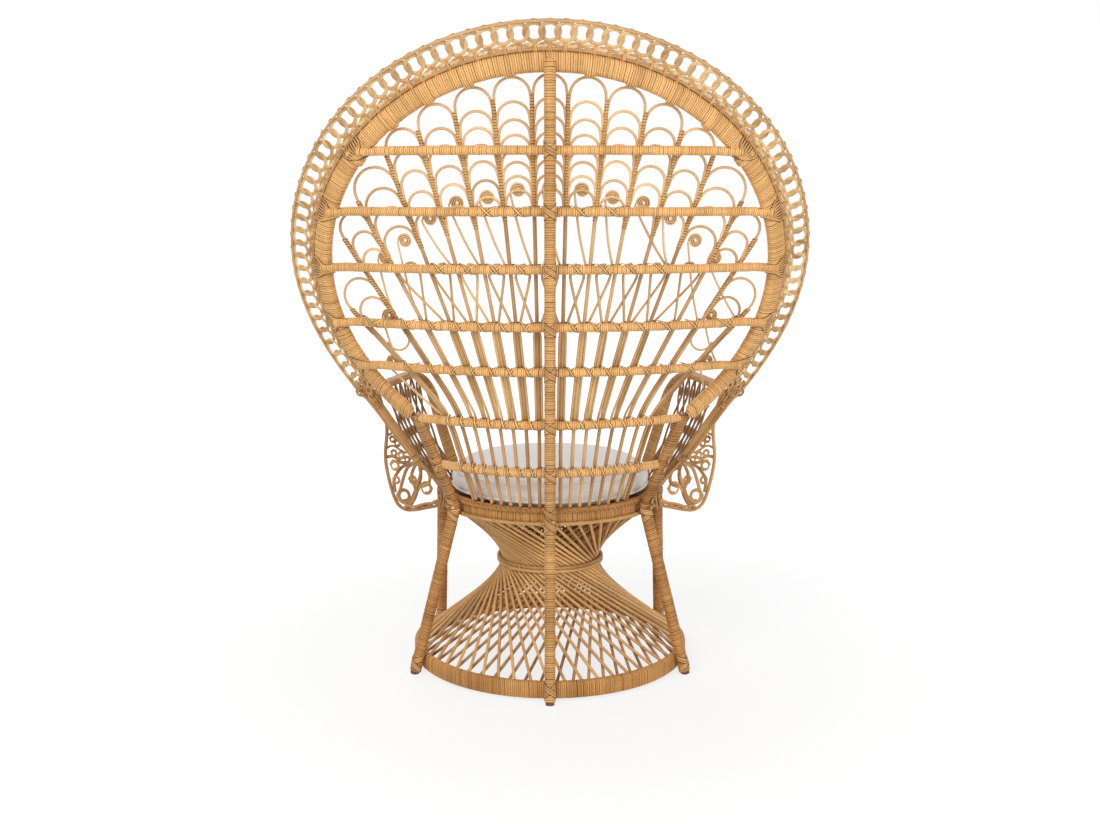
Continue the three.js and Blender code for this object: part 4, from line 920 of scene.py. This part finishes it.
for side in (1, -1):
    line = smoothLine(armKeys(side), 90)
    outward = unit((line - axisPoint) * (1, 1, 0))
    armPath = makePath(line, outward)
    addWinding(wound, armPath, arms["width"], arms["thickness"], arms["pitch"], shade=arms["shade"], sides=16)

    # the stem: the border's canes run on as a thick bundle and spread over the side of the seat
    head = onBorder(side * (lace["end"] + stem["begin"]), stem["across"])[0]
    footRadius = arms["trim"] + .0043
    shin = around(footRadius, side * stem["angle"], seat["middle"] + seat["trimGap"] + .008)
    knot = head + (shin - head) * stem["knot"]
    knot = knot + unit((knot - axisPoint) * (1, 1, 0)) * .006
    beside = unit(np.cross(knot - head, (0, 1, 0))) * side
    ahead = unit(np.cross(beside, knot - head)) * side
    for column, row, across in stem["canes"]:
        shift = beside * column * .0058 - ahead * row * .0055
        origin = onBorder(side * (lace["end"] - 2.5), across, .001 - row * .004)[0]
        angle = side * (stem["angle"] + column * 5)
        keys = [origin, head + shift * 1.15 + (knot - head) * .06, (head + knot) / 2 + shift, knot + shift * .7]
        if abs(column) < .6:  # the middle canes go on to the seat, the others end in the skirt's bows
            keys += [around(footRadius + row * .004, angle, seat["middle"] + way * (seat["trimGap"] + .008))
                     for way in (1, -1)]
        slim = ((0, .58, .68, 1), (1, 1, .62, .62)) if len(keys) > 4 else None
        addCane(canes, makePath(smoothLine(keys, 36), outward[20]), stem["cane"], tone=pick(.45), taper=slim)
    stemPath = makePath(head + (knot - head) * np.linspace(0, 1, 9)[:, None] - ahead * .0025, ahead)
    for share in stem["ties"]:
        begin = stemPath["length"] * share
        addWinding(canes, stemPath, .026, .018, .0045, span=(begin, begin + stem["tie"]), shade=.45, core=False)

    # the skirt: a hanging hoop with curls and bows that spread from the stem
    foot = around(arms["trim"] + .0048, side * skirt["angle"], seat["middle"] - seat["trimGap"])
    top = alongPath(armPath, np.array([armPath["length"] * .2]))[0][0] + (side * .0107, 0, 0)
    drop = arms["height"] - skirt["low"]
    spots = [(.008, -.015, drop * .7), (0, -.045, drop * .4), (.019, -.06, drop * .1), (.046, -.055, .0045),
             (.088, -.024, .016)]
    spots = [(side * (skirt["reach"] - x), axisY + y, skirt["low"] + z) for x, y, z in spots]
    hoop = smoothLine([top, *spots, foot], 60)
    addCane(canes, makePath(hoop, (0, 1, 0)), skirt["hoop"], tone=pick(.5))

    def onSkirt(x, z, out=0.):
        x, z = np.broadcast_arrays(np.asarray(x, float), np.asarray(z, float))
        return np.stack([side * x, axisY + np.interp(x, (.27, .4), (.012, -.05)) + out, z], -1)
    right = unit(onSkirt(.36, .45) - onSkirt(.33, .45))
    for x, z, size in curls:
        addCurl(canes, onSkirt(x, z, .004), right, up, size, 1.8, skirt["curl"], pick(.48))
    for index, bow in enumerate(bows):
        keys = [knot if spot is None else onSkirt(*spot, .001 + .0035 * (index % 3)) for spot in bow]
        bowPath = makePath(smoothLine(keys, 12 * len(keys)), (0, 1, 0))
        addCane(canes, bowPath, .0042, skirt["stemBow" if None in bow else "bow"], sides=7, step=.007, tone=pick(.43))

    # the panel below the rail: waving strands that meet and part, with a curl in each gap
    def onPanel(u, v):
        angle = skirt["angle"] + panel["begin"] + u * panel["turn"]
        low = around(arms["trim"] + .0038, side * angle, seat["middle"] + seat["trimGap"])
        run = armPath["length"] * (panel["railBegin"] + panel["railShare"] * u)
        high = alongPath(armPath, run)[0] - (side * .004, 0, 0)
        return low + (high - low) * v[:, None] + np.sin(v * math.pi)[:, None] * (side * panel["bulge"], 0, 0)
    share = np.linspace(0, 1, 41)
    for i in range(panel["strands"]):
        middle = (i + .5) / panel["strands"]
        for way in (1, -1):
            u = np.clip(middle + way * panel["wave"] * np.sin(share * math.tau * 1.5), 0, 1)
            strand = onPanel(u, share) + (side * .0018 * way, 0, 0)
            addCane(lattice, makePath(strand, (0, 1, 0)), panel["strand"], sides=6, tone=pick(.45))
        for v in (1 / 6, .5, 5 / 6):
            spot, above = onPanel(np.full(2, middle), np.array([v, v + .02]))
            climb = unit(above - spot)
            onward = unit(np.cross(climb, np.cross((0, -1., 0), climb)))
            addCurl(lattice, spot, onward, climb, panel["curl"], 1.6, panel["curlCane"], pick(.5))

    # the knot of curls where the border ends
    for across, beyond, size in endCurls:
        spot, reach, face = onBorder(side * lace["end"], across, .005)
        onward = unit(np.cross(reach, face)) * -side
        addCurl(canes, spot + onward * beyond, onward, reach, size, 2.1, .0056, pick(.5))
makePiece("armRails", wound, rattanPeel, ["arm_rail_left", "arm_rail_right"])
curlNodes = ["arm_%s_%s" % (part, side) for part in ("stem", "skirt") for side in ("left", "right")]
makePiece("armCurls", canes, agedCane, curlNodes)
# the lattice takes the darker cane: painted shade under the arm
makePiece("armLattice", lattice, shadedCane, ["arm_lattice_left", "arm_lattice_right"])

# Cushion: loose, round, in cotton, with a crown and piped edges
cushion = {"radius": .246, "foot": .4243, "height": .082, "voxel": .006, "cap": .016, "piping": .0064,
           "edges": (.018, .056), "pressure": 4, "frames": 20, "fill": .7}
profile = [(0, .004), (.196, .004), (.224, .014), (.233, .028), (.233, .044), (.222, .056), (.12, .067), (0, .069)]
bm = spinProfile([(r, axisY, cushion["foot"] + z) for r, z in profile], 64, axisPoint)
bmesh.ops.remove_doubles(bm, verts=bm.verts, dist=.0005)
bmesh.ops.recalc_face_normals(bm, faces=bm.faces)
pad = addObject("cushion", meshFrom(bm, "cushion"))

# Cotton canvas: matt off-white, a plain weave of 0.6 mm threads drawn 1.5 mm wide so that it shows
canvasLook = {"dark": "#f7f5f4", "light": "#fefefe", "gap": "#a2958c", "thread": .0015, "cloud": .06, "rough": .9}
canvas, tree = newMaterial("cottonCanvas")
place = addNode(tree, "TexCoord").outputs["Object"]
dark, light, gap = [linearColour(canvasLook[key]) for key in ("dark", "light", "gap")]
weave = {"Vector": place, "Scale": 1 / canvasLook["thread"] / math.tau, "Distortion": .6, "Detail": 1,
         "Detail Scale": 4}
threads = [addNode(tree, "TexWave", weave, bands_direction=axis).outputs["Fac"] for axis in ("X", "Y")]
woven = addNode(tree, "Math", {0: threads[0], 1: threads[1]}, operation="MAXIMUM")
cloud = addNode(tree, "TexNoise", {"Vector": place, "Scale": 1 / canvasLook["cloud"], "Detail": 4})
plain = addNode(tree, "Mix", {0: cloud.outputs["Fac"], 6: dark, 7: light}, data_type="RGBA")
shadow = addNode(tree, "MapRange", {"Value": woven.outputs[0], 3: .07, 4: 0})
yarn = addNode(tree, "Mix", {0: shadow.outputs[0], 6: plain.outputs[2], 7: gap}, data_type="RGBA")
clothBump = addNode(tree, "Bump", {"Height": woven.outputs[0], "Strength": .3, "Distance": .0004})
clothShader = addNode(tree, "BsdfPrincipled", {
    "Base Color": yarn.outputs[2], "Roughness": canvasLook["rough"], "Sheen Weight": .2, "Sheen Roughness": .5,
    "Normal": clothBump.outputs["Normal"]})
addNode(tree, "OutputMaterial", {"Surface": clothShader.outputs[0]})

remesh = pad.modifiers.new("remesh", "REMESH")
remesh.mode = "VOXEL"
remesh.voxel_size = cushion["voxel"]
grid = evaluatedMesh(pad)
pad.modifiers.clear()
pad.data = grid
startPlaces = readPlaces(grid)
cloth = pad.modifiers.new("swell", "CLOTH")
cloth.settings.use_pressure = True
cloth.settings.uniform_pressure_force = cushion["pressure"]
cloth.settings.effector_weights.gravity = 0
cloth.settings.quality = 4
cloth.point_cache.frame_start = 1
cloth.point_cache.frame_end = cushion["frames"]
for step in range(1, cushion["frames"] + 1):
    scene.frame_set(step)
grown = evaluatedMesh(pad)
pad.modifiers.clear()
scene.frame_set(1)
places = readPlaces(grown)
move = places - startPlaces
far = np.linalg.norm(move, axis=1, keepdims=True)
places = startPlaces + move * np.minimum(1, cushion["cap"] / np.maximum(far, 1e-9))
flatRadius = np.hypot(places[:, 0], places[:, 1] - axisY)
fit = (cushion["radius"] - .002) / flatRadius.max()
places[:, 0] *= fit
places[:, 1] = axisY + (places[:, 1] - axisY) * fit
flatRadius = flatRadius * fit
places[:, 2] = np.clip(places[:, 2], cushion["foot"] + .0002, cushion["foot"] + cushion["height"])
setPlaces(grown, places)
pad.data = grown
fine = pad.modifiers.new("fine", "SUBSURF")
fine.levels = fine.render_levels = 1
grown.polygons.foreach_set("use_smooth", np.ones(len(grown.polygons), bool))
grown.materials.append(canvas)
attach(pad, "cushion")
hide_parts("seat_cushion")
print("cushion", len(grown.polygons), "faces")

bundle = []
turn = np.linspace(0, 360, 121)
for level in cushion["edges"]:
    near = np.abs(places[:, 2] - cushion["foot"] - level) < .003
    radius = min(np.quantile(flatRadius[near], .98) + .0005, cushion["radius"] - cushion["piping"] / 2)
    addCane(bundle, hoopPath(radius, turn, cushion["foot"] + level), cushion["piping"], step=.013, tone=.5)
makePiece("cushionPiping", bundle, canvas, [], body="cushion")

# Stage: a plain pale floor that keeps the shadow, a white surround and soft lamps
stage = {"floor": 14, "paper": "#f2f2f2", "glowShare": .72, "glowNear": (.6, 1.06), "glowFar": (3.2, 1.42),
         "sky": .42, "aim": (0, 0, .75)}
lamps = {"key": ((1.6, 3.2, 3.2), 2.2, 81), "fill": ((-2.0, 3.0, 1.1), 2.6, 46),
         "front": ((0.6, -3.0, 2.8), 2.6, 46)}  # place, size, power


def seenDirectly(tree):
    rays = addNode(tree, "LightPath")
    seen = rays.outputs["Is Camera Ray"]
    for kind in ("Is Glossy Ray", "Is Transmission Ray"):
        seen = addNode(tree, "Math", {0: seen, 1: rays.outputs[kind]}, operation="MAXIMUM").outputs[0]
    return seen


bm = bmesh.new()
bmesh.ops.create_circle(bm, cap_ends=True, segments=64, radius=stage["floor"])
mesh = meshFrom(bm, "floor")
floor = addObject("floor", mesh)

# White paper: matt, with a painted glow towards white where it is seen, weaker near the chair and a little stronger
# far from it, so a soft darker pool stays round the chair.
paper, tree = newMaterial("whitePaper")
seen = addNode(tree, "Math", {0: seenDirectly(tree), 1: stage["glowShare"]}, operation="MULTIPLY")
matt = addNode(tree, "BsdfDiffuse", {"Color": linearColour(stage["paper"])})
span = addNode(tree, "VectorMath", {0: addNode(tree, "TexCoord").outputs["Object"]}, operation="LENGTH")
(near, low), (far, high) = stage["glowNear"], stage["glowFar"]
level = addNode(tree, "MapRange", {"Value": span.outputs["Value"], 1: near, 2: far, 3: low, 4: high})
glow = addNode(tree, "Emission", {"Color": (1, 1, 1, 1), "Strength": level.outputs[0]})
mixed = addNode(tree, "MixShader", {0: seen.outputs[0], 1: matt.outputs[0], 2: glow.outputs[0]})
addNode(tree, "OutputMaterial", {"Surface": mixed.outputs[0]})
mesh.materials.append(paper)

world = bpy.data.worlds.new("studio")
world.use_nodes = True
scene.world = world
tree = world.node_tree
tree.nodes.clear()
sky = addNode(tree, "Background", {"Color": (1, 1, 1, 1), "Strength": stage["sky"]})
white = addNode(tree, "Background", {"Color": (1, 1, 1, 1), "Strength": 1})
surround = addNode(tree, "MixShader", {0: seenDirectly(tree), 1: sky.outputs[0], 2: white.outputs[0]})
addNode(tree, "OutputWorld", {"Surface": surround.outputs[0]})

for name, (spot, size, power) in lamps.items():
    light = bpy.data.lights.new(name, "AREA")
    light.size = size
    light.energy = power
    lamp = addObject(name, light)
    lamp.location = spot
    x, y, z = np.array(stage["aim"]) - spot
    lamp.rotation_euler = (math.atan2(math.hypot(x, y), -z), 0, math.atan2(y, x) - math.pi / 2)
print("stage set")

for mesh in store.values():
    bpy.data.meshes.remove(mesh)
